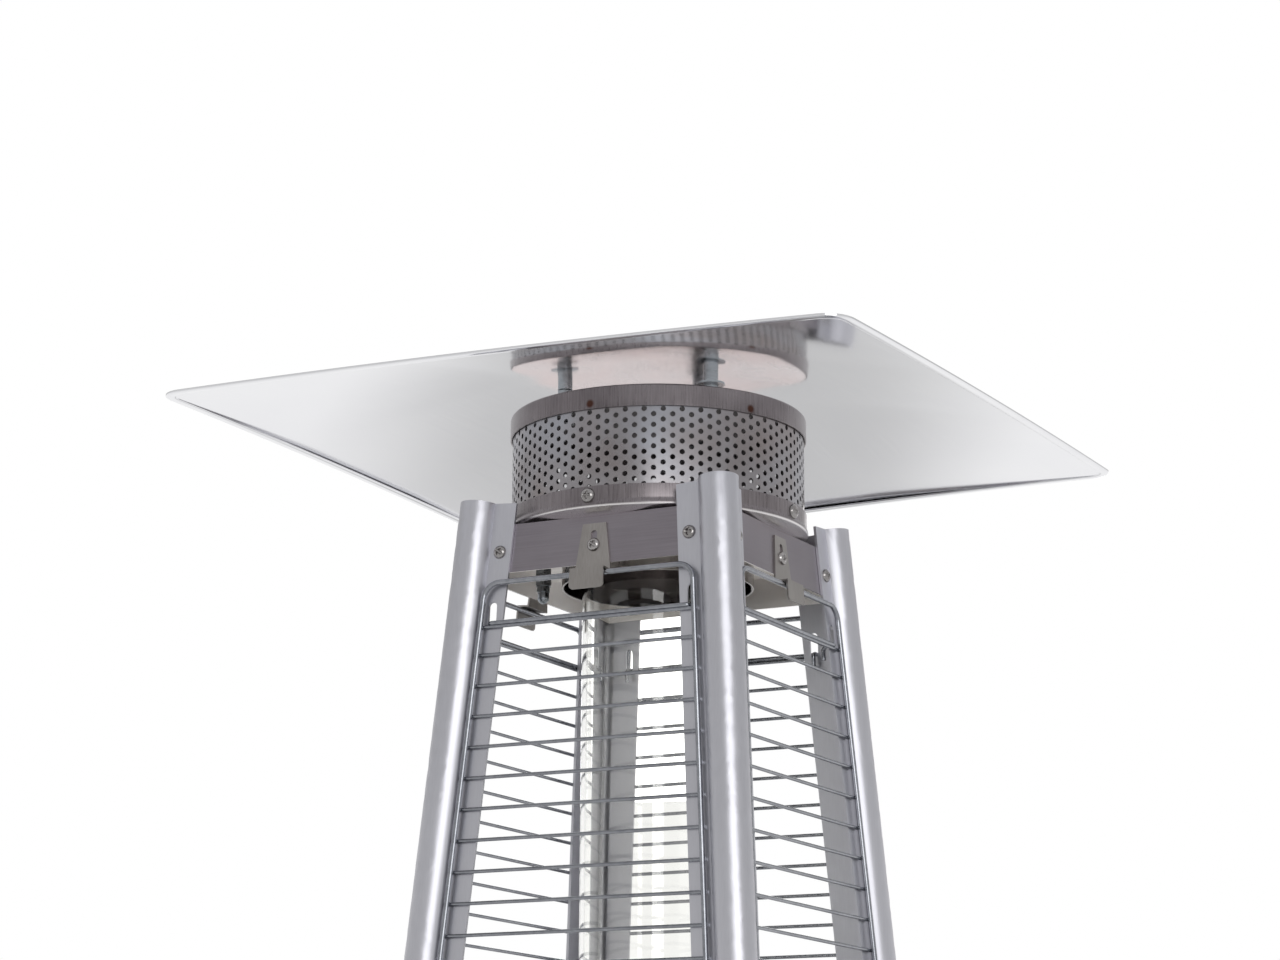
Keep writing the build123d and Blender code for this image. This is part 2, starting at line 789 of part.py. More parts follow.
def stem():
    # the stem's foot has room behind it for the push
    foot = -valve_back - (stem_length - knob_height) + knob_travel + knob_air
    head = dial_thick + knob_travel + knob_air + knob_height * knob_bore_share
    rod = Pos(0, 0, foot) * cylinder(stem_radius, head - foot)
    return control_place * rod


def knob():
    low = dial_thick + knob_travel + knob_air
    skirt = cylinder(knob_skirt, knob_skirt_height)
    grip = Cone(knob_radius, knob_radius * knob_top_share, knob_height,
                align=(Align.CENTER, Align.CENTER, Align.MIN))
    body = skirt + grip
    for i in range(knob_grooves):
        groove = cylinder(stem_radius / 2, knob_height)
        groove = Pos(knob_radius * groove_circle_share, 0, knob_skirt_height) * groove
        body -= Rot(0, 0, 360 / knob_grooves * (i + 1 / 2)) * groove
    bore_depth = knob_height * knob_bore_share + knob_air / 2
    body -= Pos(0, 0, -overrun) * cylinder(stem_radius + running_gap, overrun + bore_depth)
    return control_place * Pos(0, 0, low) * body


def igniter_body():
    bezel = tube(igniter_bezel, button_radius + running_gap, igniter_bezel_thick)
    barrel = Pos(0, 0, -igniter_length) * cylinder(igniter_radius, igniter_length)
    barrel -= Pos(0, 0, -button_travel * 3) * cylinder(button_radius + running_gap, button_travel * 3 + overrun)
    return button_place * (bezel + barrel)


def igniter_button():
    low = -button_travel * 3 + button_travel + knob_air
    high = igniter_bezel_thick + button_proud
    rod = Pos(0, 0, low) * cylinder(button_radius, high - low)
    rod = fillet(rod.edges().sort_by(Axis((0, 0, 0), (0, 0, 1)))[-1], button_radius / 5)
    return button_place * rod


def gas_pipe():
    # from the valve's outlet up, back and in to the injector
    start = (control_place * Pos(0, valve_height / 2 + overrun, -valve_back - valve_depth / 2)).position
    low = deck_top + burner_rise - burner_cup - venturi_length - injector_length / 2
    direction = face.y_dir
    first = start + direction * pipe_rise
    turn = Vector(0, first.Y, first.Z)
    under = Vector(0, 0, low - 2 * pipe_bend)
    points = [start, turn, Vector(0, (turn.Y + under.Y) / 2, (turn.Z + under.Z) / 2 - pipe_bend / 2), under,
              Vector(0, 0, low)]
    return wire_path(FilletPolyline(*points, radius=pipe_bend / 2), pipe_radius)


def tilt_switch():
    # on the back of the control panel, beside the valve
    case = Pos(-button_from_knob, 0, -sheet) * Box(
        tilt_size, tilt_height, tilt_size, align=(Align.CENTER, Align.CENTER, Align.MAX))
    return control_place * fillet(case.edges().filter_by(Axis.Y), tilt_size / 8)


# Cabinet panels behind the posts' flanges
def cut_panel_holes(panel):
    z0, z1 = post_screw_heights[2], post_screw_heights[1]
    places = both_sides(half(z0) - post_screw_from_corner, z0, flange_thick)
    places += both_sides(half(z1) - post_screw_from_corner, z1, flange_thick)
    for place in places:
        panel -= place * screw_hole(4 * flange_thick)
    return panel


def side_panel():
    return cut_panel_holes(trapezoid(base_top + seat_gap, deck_top, panel_from_corner, 0, sheet))


# Door: a shallow pan between the front posts that turns on two leaning pins
def door_side(z):
    return half(z) - flange_reach - door_gap


def hinge_point(z):
    # the hinge axis runs up parallel to the door's left edge, inside its depth
    return on_face(-door_side(z) + hinge_from_edge, z, door_face_out() - hinge_depth).position


def door_face_out():
    return seat_gap + flange_thick


def ledge_depth():
    # ledges above and below the door end level with the door's inner edge
    return door_depth - door_face_out()


hinge_axis = (hinge_point(door_top) - hinge_point(door_bottom)).normalized()


def hinge_place(z):
    return Plane(origin=hinge_point(z), z_dir=hinge_axis)


def door():
    out = door_face_out()
    low, high = door_side(door_bottom), door_side(door_top)
    z0, z1 = up(door_bottom), up(door_top)
    outline = Polygon((-low, z0), (low, z0), (high, z1), (-high, z1), align=None)
    body = extrude(face.offset(out) * outline, amount=-door_depth)
    inner = Polygon((-low + sheet, z0 + sheet), (low - sheet, z0 + sheet),
                    (high - sheet, z1 - sheet), (-high + sheet, z1 - sheet), align=None)
    body -= extrude(face.offset(out - sheet) * inner, amount=-door_depth)
    for z in (door_bottom, door_top):
        body -= hinge_place(z) * Pos(0, 0, -overrun) * cylinder(hinge_pin_radius + running_gap, 2 * overrun)
    body -= latch_place() * Pos(0, 0, -overrun) * cylinder(latch_radius + running_gap, 2 * overrun)
    for place in handle_feet():
        body -= place * Pos(0, 0, -overrun) * cylinder(screw_radius + hole_gap, 2 * overrun)
    return body


def hinge_pin(z, door_edge, ledge):
    # a pin set in a ledge at height z, with a collar that keeps the door off the ledge
    gap = abs(door_edge - z)
    body = cylinder(hinge_pin_radius, gap + hinge_pin_reach)
    body += Pos(0, 0, -ledge) * cylinder(hinge_pin_radius, ledge)
    body += Pos(0, 0, hinge_collar_gap) * cylinder(hinge_collar_radius, gap - 2 * hinge_collar_gap)
    if door_edge < z:
        body = Rot(180, 0, 0) * body
    return hinge_place(z) * body


def handle_feet():
    x = door_side(handle_height) - handle_from_edge
    out = door_face_out()
    return [on_face(x, handle_height - handle_length / 2, out),
            on_face(x, handle_height + handle_length / 2, out)]


def door_handle():
    bar = handle_length / 2
    route = FilletPolyline((0, -bar, 0), (0, -bar, handle_stand), (0, bar, handle_stand), (0, bar, 0),
                           radius=handle_stand / 2)
    x = door_side(handle_height) - handle_from_edge
    body = on_face(x, handle_height, door_face_out()) * wire_path(route, handle_radius)
    for place in handle_feet():
        body += place * Pos(0, 0, -sheet * 3) * cylinder(screw_radius, sheet * 3 + handle_radius)
    return body


def latch_place():
    return on_face(0, door_top - latch_below_top, door_face_out())


def door_latch():
    # knob outside, spindle through the door, cam behind it; at rest the cam points sideways
    stem_low = -door_depth - latch_air - latch_cam_thick
    rod = Pos(0, 0, stem_low) * cylinder(latch_radius, -stem_low)
    disc = Pos(0, 0, seat_gap) * cylinder(latch_knob_radius, latch_knob_height / 3)
    grip = Pos(0, 0, seat_gap) * Box(2 * latch_knob_radius * latch_grip_share, latch_grip, latch_knob_height,
                                     align=(Align.CENTER, Align.CENTER, Align.MIN))
    cam = Pos(0, 0, stem_low) * extrude(
        Pos(latch_cam_length / 2 - latch_cam_width / 2) * SlotOverall(latch_cam_length, latch_cam_width),
        amount=latch_cam_thick)
    neck = cylinder(latch_radius, seat_gap)
    return latch_place() * (rod + neck + disc + grip + cam)


# Base: a pressed tray on rubber feet, with the kerb that posts and panels are screwed to
def kerb_inset():
    return (sheet + seat_gap) * slope


def base():
    tray = extrude(Plane.XY.offset(base_bottom) * RectangleRounded(2 * base_side, 2 * base_side, base_corner),
                   amount=base_top - base_bottom)
    tray = fillet(tray.edges().filter_by(Plane.XY).group_by(Axis.Z)[-1], base_sheet * 2)
    room_side = 2 * (base_side - base_sheet)
    room = RectangleRounded(room_side, room_side, base_corner - base_sheet)
    tray -= extrude(Plane.XY.offset(base_bottom - overrun) * room,
                    amount=base_top - base_bottom + overrun - base_sheet)
    kerb = frustum(base_top - base_sheet / 2, base_top + kerb_height, kerb_inset(), 2 * sheet)
    kerb -= frustum(base_top - overrun, base_top + kerb_height + overrun, kerb_inset() + base_sheet * slope,
                    sheet)
    body = tray + kerb
    # ledge on the kerb's front for the lower hinge pin, in line with the sheet of the kerb
    z = base_top + kerb_height
    ledge_half = half(z) - flange_reach - door_gap
    kerb_out = sheet + seat_gap
    ledge = Box(2 * ledge_half, base_sheet, ledge_depth() - kerb_out,
                align=(Align.CENTER, Align.MAX, Align.MAX))
    body += on_face(0, z, -kerb_out) * ledge
    body -= hinge_place(z) * Pos(0, 0, -2 * overrun) * cylinder(hinge_pin_radius + hole_gap, 4 * overrun)
    body -= Pos(0, 0, base_bottom) * cylinder(floor_hole, base_top)
    for sx in (-1, 1):
        for sy in (-1, 1):
            spot = base_side - anchor_inset
            body -= Pos(sx * spot, sy * spot, base_bottom) * cylinder(anchor_radius, base_top)
            foot = base_side - foot_inset
            body += Pos(sx * foot, sy * foot, base_bottom) * cylinder(
                foot_pad, base_top - base_bottom - base_sheet / 2)
    z = post_screw_heights[2]
    return cut_at(body, both_sides(half(z) - post_screw_from_corner, z, flange_thick),
                  screw_hole(flange_thick + sheet + 3 * base_sheet))


def rubber_feet():
    foot = base_side - foot_inset
    pad = cylinder(foot_radius, base_bottom)
    pad = fillet(pad.edges().group_by(Axis.Z)[0], base_bottom / 6)
    return [Pos(sx * foot, sy * foot, 0) * pad for sx in (-1, 1) for sy in (-1, 1)]


# Wheels behind the base, clear of the floor until the heater is tipped back
axle_y = base_side + bracket_thick + wheel_radius + wheel_lift
axle_z = wheel_radius + wheel_lift


def wheel_bracket():
    low = axle_z - bracket_height / 2
    plate = Pos(0, base_side, low) * Box(
        2 * (bracket_arm + bracket_margin), bracket_thick, bracket_height - bracket_margin,
        align=(Align.CENTER, Align.MIN, Align.MIN))
    body = plate
    for side in (-1, 1):
        reach = axle_y - base_side
        arm = Pos(side * bracket_arm, base_side, low) * Box(
            bracket_thick, reach, bracket_height - bracket_margin, align=(Align.CENTER, Align.MIN, Align.MIN))
        eye = Pos(side * bracket_arm - bracket_thick / 2, axle_y, axle_z) * Rot(0, 90, 0) * cylinder(
            bracket_height / 2, bracket_thick)
        body += arm + eye
    return body - axle_bore(hole_gap)


def axle_bore(gap):
    return Pos(0, axle_y, axle_z) * Rot(0, 90, 0) * Cylinder(axle_radius + gap, 3 * axle_half)


def wheel_axle():
    return Pos(0, axle_y, axle_z) * Rot(0, 90, 0) * Cylinder(axle_radius, 2 * axle_half)


def wheel_hub(side):
    rim_radius = wheel_radius - tyre_thick
    rim = Cylinder(rim_radius, wheel_width) - Cylinder(rim_radius - rim_wall, 2 * wheel_width)
    web = Cylinder(rim_radius - rim_wall / 2, web_thick)
    for i in range(web_holes):
        web -= Rot(0, 0, 360 / web_holes * i) * Pos((rim_radius + hub_radius) / 2, 0, 0) * Cylinder(
            (rim_radius - hub_radius) / 4, 2 * web_thick)
    body = rim + web + Cylinder(hub_radius, 2 * hub_half)
    body -= Cylinder(axle_radius + running_gap, 4 * hub_half)
    return Pos(side * wheel_mid, axle_y, axle_z) * Rot(0, 90, 0) * body


def wheel_tyre(side):
    ring = Cylinder(wheel_radius, wheel_width)
    ring = fillet(ring.edges(), tyre_thick / 2)
    ring -= Cylinder(wheel_radius - tyre_thick, 2 * wheel_width)
    for offset in (-1, 1):
        groove = Torus(wheel_radius, web_thick / 4)
        ring -= Pos(0, 0, offset * wheel_width / 6) * groove
    return Pos(side * wheel_mid, axle_y, axle_z) * Rot(0, 90, 0) * ring


def axle_cap(side):
    cap = cylinder(cap_radius, cap_height) - Pos(0, 0, -overrun) * cylinder(
        axle_radius + hole_gap, cap_pocket + overrun)
    turn = Rot(0, 90, 0) if side > 0 else Rot(0, -90, 0)
    return Pos(side * (axle_half - cap_pocket), axle_y, axle_z) * turn * cap


corner_names = {0: "back_right", 1: "back_left", 2: "front_left", 3: "front_right"}
for quarter, name in corner_names.items():
    save(post(quarter), "post_" + name)

guard_blank = guard()
for quarter, name in enumerate(("front", "right", "back", "left")):
    save(turned(guard_blank, quarter), "guard_" + name)

quarters = range(4)
save_group([turned(clip(), q) for q in quarters], "guard_clips")
save_group([turned(clip_screw_place * screw(clip_screw_length), q) for q in quarters], "clip_screws")
nut = nut_place * cap_nut() - clip_screw_place * screw_hole(clip_screw_length + hole_gap)
save_group([turned(nut, q) for q in quarters], "clip_nuts")
save_group([turned(place * screw(post_screw_length), q) for q in quarters for place in post_screw_places()],
           "post_screws")

save(top_box(), "top_box")
save(collar(), "flue_collar")
save(drum_pan(), "drum_pan")
save(perforated_screen(), "perforated_screen")
save(drum_lid(), "drum_lid")
save_group([turned(drum_screw_place() * screw(drum_screw_length, drum_head_radius), q) for q in quarters],
           "drum_screws")

save_group([drum_bolt(angle) for angle in stud_angles], "drum_bolts")
save_group([drum(angle) for angle in stud_angles for drum in (drum_standoff, drum_nut)], "drum_nuts")

save(reflector(), "reflector")
save_group([reflector_post(angle) for angle in stud_angles], "reflector_posts")
save_group([post_washer(a, rise) for a, rise in zip(stud_angles, washer_rises)], "post_washers")
save_group([top_washer(angle) for angle in stud_angles], "reflector_washers")
save_group([wing_nut(angle) for angle in stud_angles], "wing_nuts")

save(glass_seat(), "glass_seat")
save(glass_gasket(), "glass_gasket")
save(glass_tube(), "glass_tube")
save(burner_deck(), "burner_deck")
save(burner(), "burner")
save(injector(), "gas_injector")
save(burner_screen(), "burner_screen")
for index, (name, radius, rise) in enumerate((("igniter_electrode", probe_radius, 2 * probe_radius),
                                              ("pilot_tube", pilot_radius, pilot_radius),
                                              ("thermocouple", probe_radius, 3 * probe_radius))):
    save(probe(index, radius, rise), name)

save(control_panel(), "control_panel")
save(dial_plate(), "dial_plate")
save(valve(), "gas_valve")
save(stem(), "valve_stem")
save(knob(), "control_knob")
save(igniter_body(), "igniter_body")
save(igniter_button(), "igniter_button")
save(gas_pipe(), "gas_pipe")
save(tilt_switch(), "tilt_switch")

for quarter, name in ((1, "right"), (2, "back"), (3, "left")):
    save(turned(side_panel(), quarter), "panel_" + name)

save(door(), "door")
save_group([hinge_pin(base_top + kerb_height, door_bottom, base_sheet),
            hinge_pin(control_bottom, door_top, sheet)], "hinge_pins")
save(door_handle(), "door_handle")
save(door_latch(), "door_latch")

save(base(), "base")
save_group(rubber_feet(), "rubber_feet")
save(wheel_bracket(), "wheel_bracket")
save(wheel_axle(), "wheel_axle")
for side, name in ((-1, "left"), (1, "right")):
    save(wheel_hub(side), "wheel_hub_" + name)
    save(wheel_tyre(side), "wheel_tyre_" + name)
save_group([axle_cap(side) for side in (-1, 1)], "axle_caps")

for label, point in (("door hinge", hinge_point(door_bottom)), ("knob", control_place.position),
                     ("button", button_place.position), ("latch", latch_place().position)):
    print(label, [round(v, 3) for v in point])
print("hinge axis", [round(v, 6) for v in hinge_axis], "face normal", [round(v, 6) for v in face.z_dir])
print("axle", axle_y, axle_z)
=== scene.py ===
import json
import math

import bmesh
import bpy
import numpy as np
from mathutils import Matrix


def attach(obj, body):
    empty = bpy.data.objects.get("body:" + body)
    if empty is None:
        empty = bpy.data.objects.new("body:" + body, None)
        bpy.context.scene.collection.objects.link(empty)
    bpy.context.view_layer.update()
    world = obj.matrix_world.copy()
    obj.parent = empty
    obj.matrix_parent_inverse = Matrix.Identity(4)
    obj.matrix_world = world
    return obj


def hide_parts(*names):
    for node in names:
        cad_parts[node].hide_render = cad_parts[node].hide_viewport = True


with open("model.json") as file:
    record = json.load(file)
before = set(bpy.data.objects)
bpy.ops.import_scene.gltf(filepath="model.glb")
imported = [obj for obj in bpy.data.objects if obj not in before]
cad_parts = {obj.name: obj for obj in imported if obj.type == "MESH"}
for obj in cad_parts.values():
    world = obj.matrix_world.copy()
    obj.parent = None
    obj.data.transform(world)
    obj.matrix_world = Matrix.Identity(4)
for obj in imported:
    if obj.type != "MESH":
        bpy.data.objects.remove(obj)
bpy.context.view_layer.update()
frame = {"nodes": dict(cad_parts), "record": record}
nodes = frame["nodes"]
mm = 0.001
print("frame loaded:", len(nodes), "nodes")

# Every new mesh is cleaned alike, in millimetres: points this close are one, and edges this short go
mending = {"merge": 0.002, "dissolve": 0.001}

# The pyramid's own measures, in millimetres, as in the CAD source
pyramid = {
    "baseHalf": 248.0, "boxHalf": 89.5, "boxTop": 2146.0,
    "drumTop": 2230.0, "drumRadius": 100.8, "screenRadius": 99.2,
}
taper = (pyramid["baseHalf"] - pyramid["boxHalf"]) / pyramid["boxTop"]
slope = math.hypot(1, taper)
faceOut = np.array([0, -1, taper]) / slope


def faceHalf(z):
    # half width of the pyramid's faces at a height
    return pyramid["baseHalf"] - taper * z


def onFace(x, z, out):
    # point of the front face: x across, z its height, then `out` millimetres along the face's normal
    return np.array([x, -faceHalf(z), z]) + out * faceOut


def quarterTurn(points, quarter):
    # points turned about the vertical axis: 0 front, 1 right, 2 back, 3 left
    c, s = [(1, 0), (0, 1), (-1, 0), (0, -1)][quarter]
    turn = np.array([[c, s, 0], [-s, c, 0], [0, 0, 1]], float)
    return np.asarray(points) @ turn


def gridFaces(rows, columns, closedRows=False, closedColumns=False):
    # quads of a grid of points numbered row by row; a closed direction joins its last line to its first
    r = np.arange(rows if closedRows else rows - 1)
    c = np.arange(columns if closedColumns else columns - 1)
    r, c = np.meshgrid(r, c, indexing="ij")
    r2, c2 = (r + 1) % rows, (c + 1) % columns
    quads = np.stack([r * columns + c, r * columns + c2, r2 * columns + c2, r2 * columns + c], -1)
    return quads.reshape(-1, 4)


def addPiece(name, parts, finish, body="frame", sharpAngle=32):
    # one object from (points in millimetres, faces) parts; edges sharper than the angle in degrees stay crisp
    points, faces, start = [], [], 0
    for p, f in parts:
        points.append(np.asarray(p, float).reshape(-1, 3))
        faces += [tuple(int(i) + start for i in face) for face in f]
        start += len(points[-1])
    mesh = bpy.data.meshes.new(name)
    mesh.from_pydata((np.concatenate(points) * mm).tolist(), [], faces)
    # seams and poles are closed first, and then the faces are turned outwards
    solid = bmesh.new()
    solid.from_mesh(mesh)
    bmesh.ops.remove_doubles(solid, verts=solid.verts, dist=mending["merge"] * mm)
    bmesh.ops.dissolve_degenerate(solid, edges=solid.edges, dist=mending["dissolve"] * mm)
    bmesh.ops.recalc_face_normals(solid, faces=solid.faces)
    solid.to_mesh(mesh)
    solid.free()
    mesh.polygons.foreach_set("use_smooth", [True] * len(mesh.polygons))
    mesh.set_sharp_from_angle(angle=math.radians(sharpAngle))
    mesh.materials.append(finish)
    piece = bpy.data.objects.new(name, mesh)
    bpy.context.scene.collection.objects.link(piece)
    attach(piece, body)
    return piece


def turnedShell(profile, sectors):
    # surface of revolution: each (radius, height) of the closed profile goes once round the vertical axis.
    # The profile runs up the outside and down the inside, so that faces point outwards.
    profile = np.asarray(profile, float)
    angle = np.linspace(0, 2 * math.pi, sectors, endpoint=False)
    r, z = profile[:, 0][:, None], profile[:, 1][:, None]
    points = np.stack([r * np.cos(angle), r * np.sin(angle), z + 0 * angle], -1)
    return points.reshape(-1, 3), gridFaces(len(profile), sectors, True, True)


def walledSheet(outer, inner, faces):
    # closed sheet: the outer surface, the inner one turned round, and a wall along every open edge
    faces, n = np.asarray(faces), len(outer)
    edges = np.stack([faces, np.roll(faces, -1, 1)], -1).reshape(-1, 2)
    _, index, count = np.unique(np.sort(edges, 1), axis=0, return_index=True, return_counts=True)
    a, b = edges[index[count == 1]].T
    walls = np.stack([b, a, a + n, b + n], -1)
    return np.concatenate([outer, inner]), np.concatenate([faces, faces[:, ::-1] + n, walls])


def rounded(corners, radius, steps):
    # closed outline with each corner replaced by an arc-like curve that starts `radius` before it:
    # point = (1-t)^2 a + 2t(1-t) corner + t^2 b, where a and b lie on the two sides
    corners = np.asarray(corners, float)
    radius = np.broadcast_to(radius, len(corners))
    overHalf = 2.01    # a curve takes just under half of a side, so that two never meet
    t = np.linspace(0, 1, steps)[:, None]
    line = []
    for before, corner, after, r in zip(np.roll(corners, 1, 0), corners, np.roll(corners, -1, 0), radius):
        toBefore, toAfter = before - corner, after - corner
        lengthBefore, lengthAfter = np.linalg.norm(toBefore), np.linalg.norm(toAfter)
        if r <= 0:
            line.append(corner[None])
            continue
        a = corner + toBefore / lengthBefore * min(r, lengthBefore / overHalf)
        b = corner + toAfter / lengthAfter * min(r, lengthAfter / overHalf)
        line.append((1 - t) ** 2 * a + 2 * t * (1 - t) * corner + t ** 2 * b)
    return np.concatenate(line)


def fromHex(code):
    # sRGB hex to the linear colour that Blender's sockets take
    s = np.array([int(code[i:i + 2], 16) for i in (1, 3, 5)]) / 255
    linear = np.where(s <= 0.04045, s / 12.92, ((s + 0.055) / 1.055) ** 2.4)
    return (*linear.tolist(), 1.0)


def addNode(tree, kind, settings=None, **inputs):
    # adds a node; an input is a value or another node's output. An input's name has _ for a space,
    # and i6 is input number 6.
    node = tree.nodes.new(kind)
    for key, value in (settings or {}).items():
        setattr(node, key, value)
    for key, value in inputs.items():
        numbered = key[0] == "i" and key[1:].isdigit()
        socket = node.inputs[int(key[1:]) if numbered else key.replace("_", " ")]
        if isinstance(value, bpy.types.NodeSocket):
            tree.links.new(value, socket)
        else:
            socket.default_value = value
    return node


def newFinish(name):
    material = bpy.data.materials.new(name)
    material.use_nodes = True
    tree = material.node_tree
    return material, tree, tree.nodes["Principled BSDF"]


def brushedFinish(name, light, dark, rough, grain, bump, blotch, metallic=1.0, zones=(), lean=1.0):
    # metal worked one way: fine streaks `grain` millimetres apart on each axis change its colour and gloss
    # a little and stand `bump` millimetres high, and broader blotches `blotch` millimetres across cloud it.
    # A zone (measure, start, end, colour) turns the colour as the height, the distance from the vertical axis
    # or the distance from a point goes from start to end, in millimetres.
    # Of a shallow sheet's lean from level, its mirror images show the share `lean`.
    material, tree, shader = newFinish(name)
    place = addNode(tree, "ShaderNodeTexCoord").outputs["Object"]
    streakPlace = addNode(tree, "ShaderNodeMapping", Vector=place, Scale=[1 / (g * mm) for g in grain])
    streak = addNode(tree, "ShaderNodeTexNoise", Vector=streakPlace.outputs["Vector"], Scale=1.0, Detail=4.0,
                     Roughness=0.6).outputs["Fac"]
    cloud = addNode(tree, "ShaderNodeTexNoise", Vector=place, Scale=1 / (blotch * mm), Detail=3.0).outputs["Fac"]
    mixed = addNode(tree, "ShaderNodeMath", {"operation": "ADD"}, i0=streak, i1=cloud).outputs[0]
    share = addNode(tree, "ShaderNodeMapRange", Value=mixed, From_Min=0.7, From_Max=1.3).outputs["Result"]
    colour = addNode(tree, "ShaderNodeMix", {"data_type": "RGBA"}, i0=share, i6=fromHex(dark),
                     i7=fromHex(light)).outputs[2]
    for measure, start, end, code in zones:
        if measure == "height":
            value = addNode(tree, "ShaderNodeSeparateXYZ", Vector=place).outputs["Z"]
        elif measure == "radius":
            level = addNode(tree, "ShaderNodeVectorMath", {"operation": "MULTIPLY"}, i0=place, i1=(1, 1, 0))
            value = addNode(tree, "ShaderNodeVectorMath", {"operation": "LENGTH"},
                            i0=level.outputs["Vector"]).outputs["Value"]
        else:
            value = addNode(tree, "ShaderNodeVectorMath", {"operation": "DISTANCE"}, i0=place,
                            i1=[v * mm for v in measure]).outputs["Value"]
        inZone = addNode(tree, "ShaderNodeMapRange", Value=value, From_Min=start * mm, From_Max=end * mm)
        colour = addNode(tree, "ShaderNodeMix", {"data_type": "RGBA"}, i0=inZone.outputs["Result"], i6=colour,
                         i7=fromHex(code)).outputs[2]
    gloss = addNode(tree, "ShaderNodeMapRange", Value=streak, From_Min=0.3, From_Max=0.7,
                    To_Min=rough[0], To_Max=rough[1]).outputs["Result"]
    relief = addNode(tree, "ShaderNodeBump", Height=streak, Strength=1.0, Distance=bump * mm).outputs["Normal"]
    if lean < 1:
        relief = addNode(tree, "ShaderNodeVectorMath", {"operation": "MULTIPLY"}, i0=relief, i1=(lean, lean, 1))
        relief = addNode(tree, "ShaderNodeVectorMath", {"operation": "NORMALIZE"},
                         i0=relief.outputs["Vector"]).outputs["Vector"]
    tree.links.new(colour, shader.inputs["Base Color"])
    tree.links.new(gloss, shader.inputs["Roughness"])
    tree.links.new(relief, shader.inputs["Normal"])
    shader.inputs["Metallic"].default_value = metallic
    return material


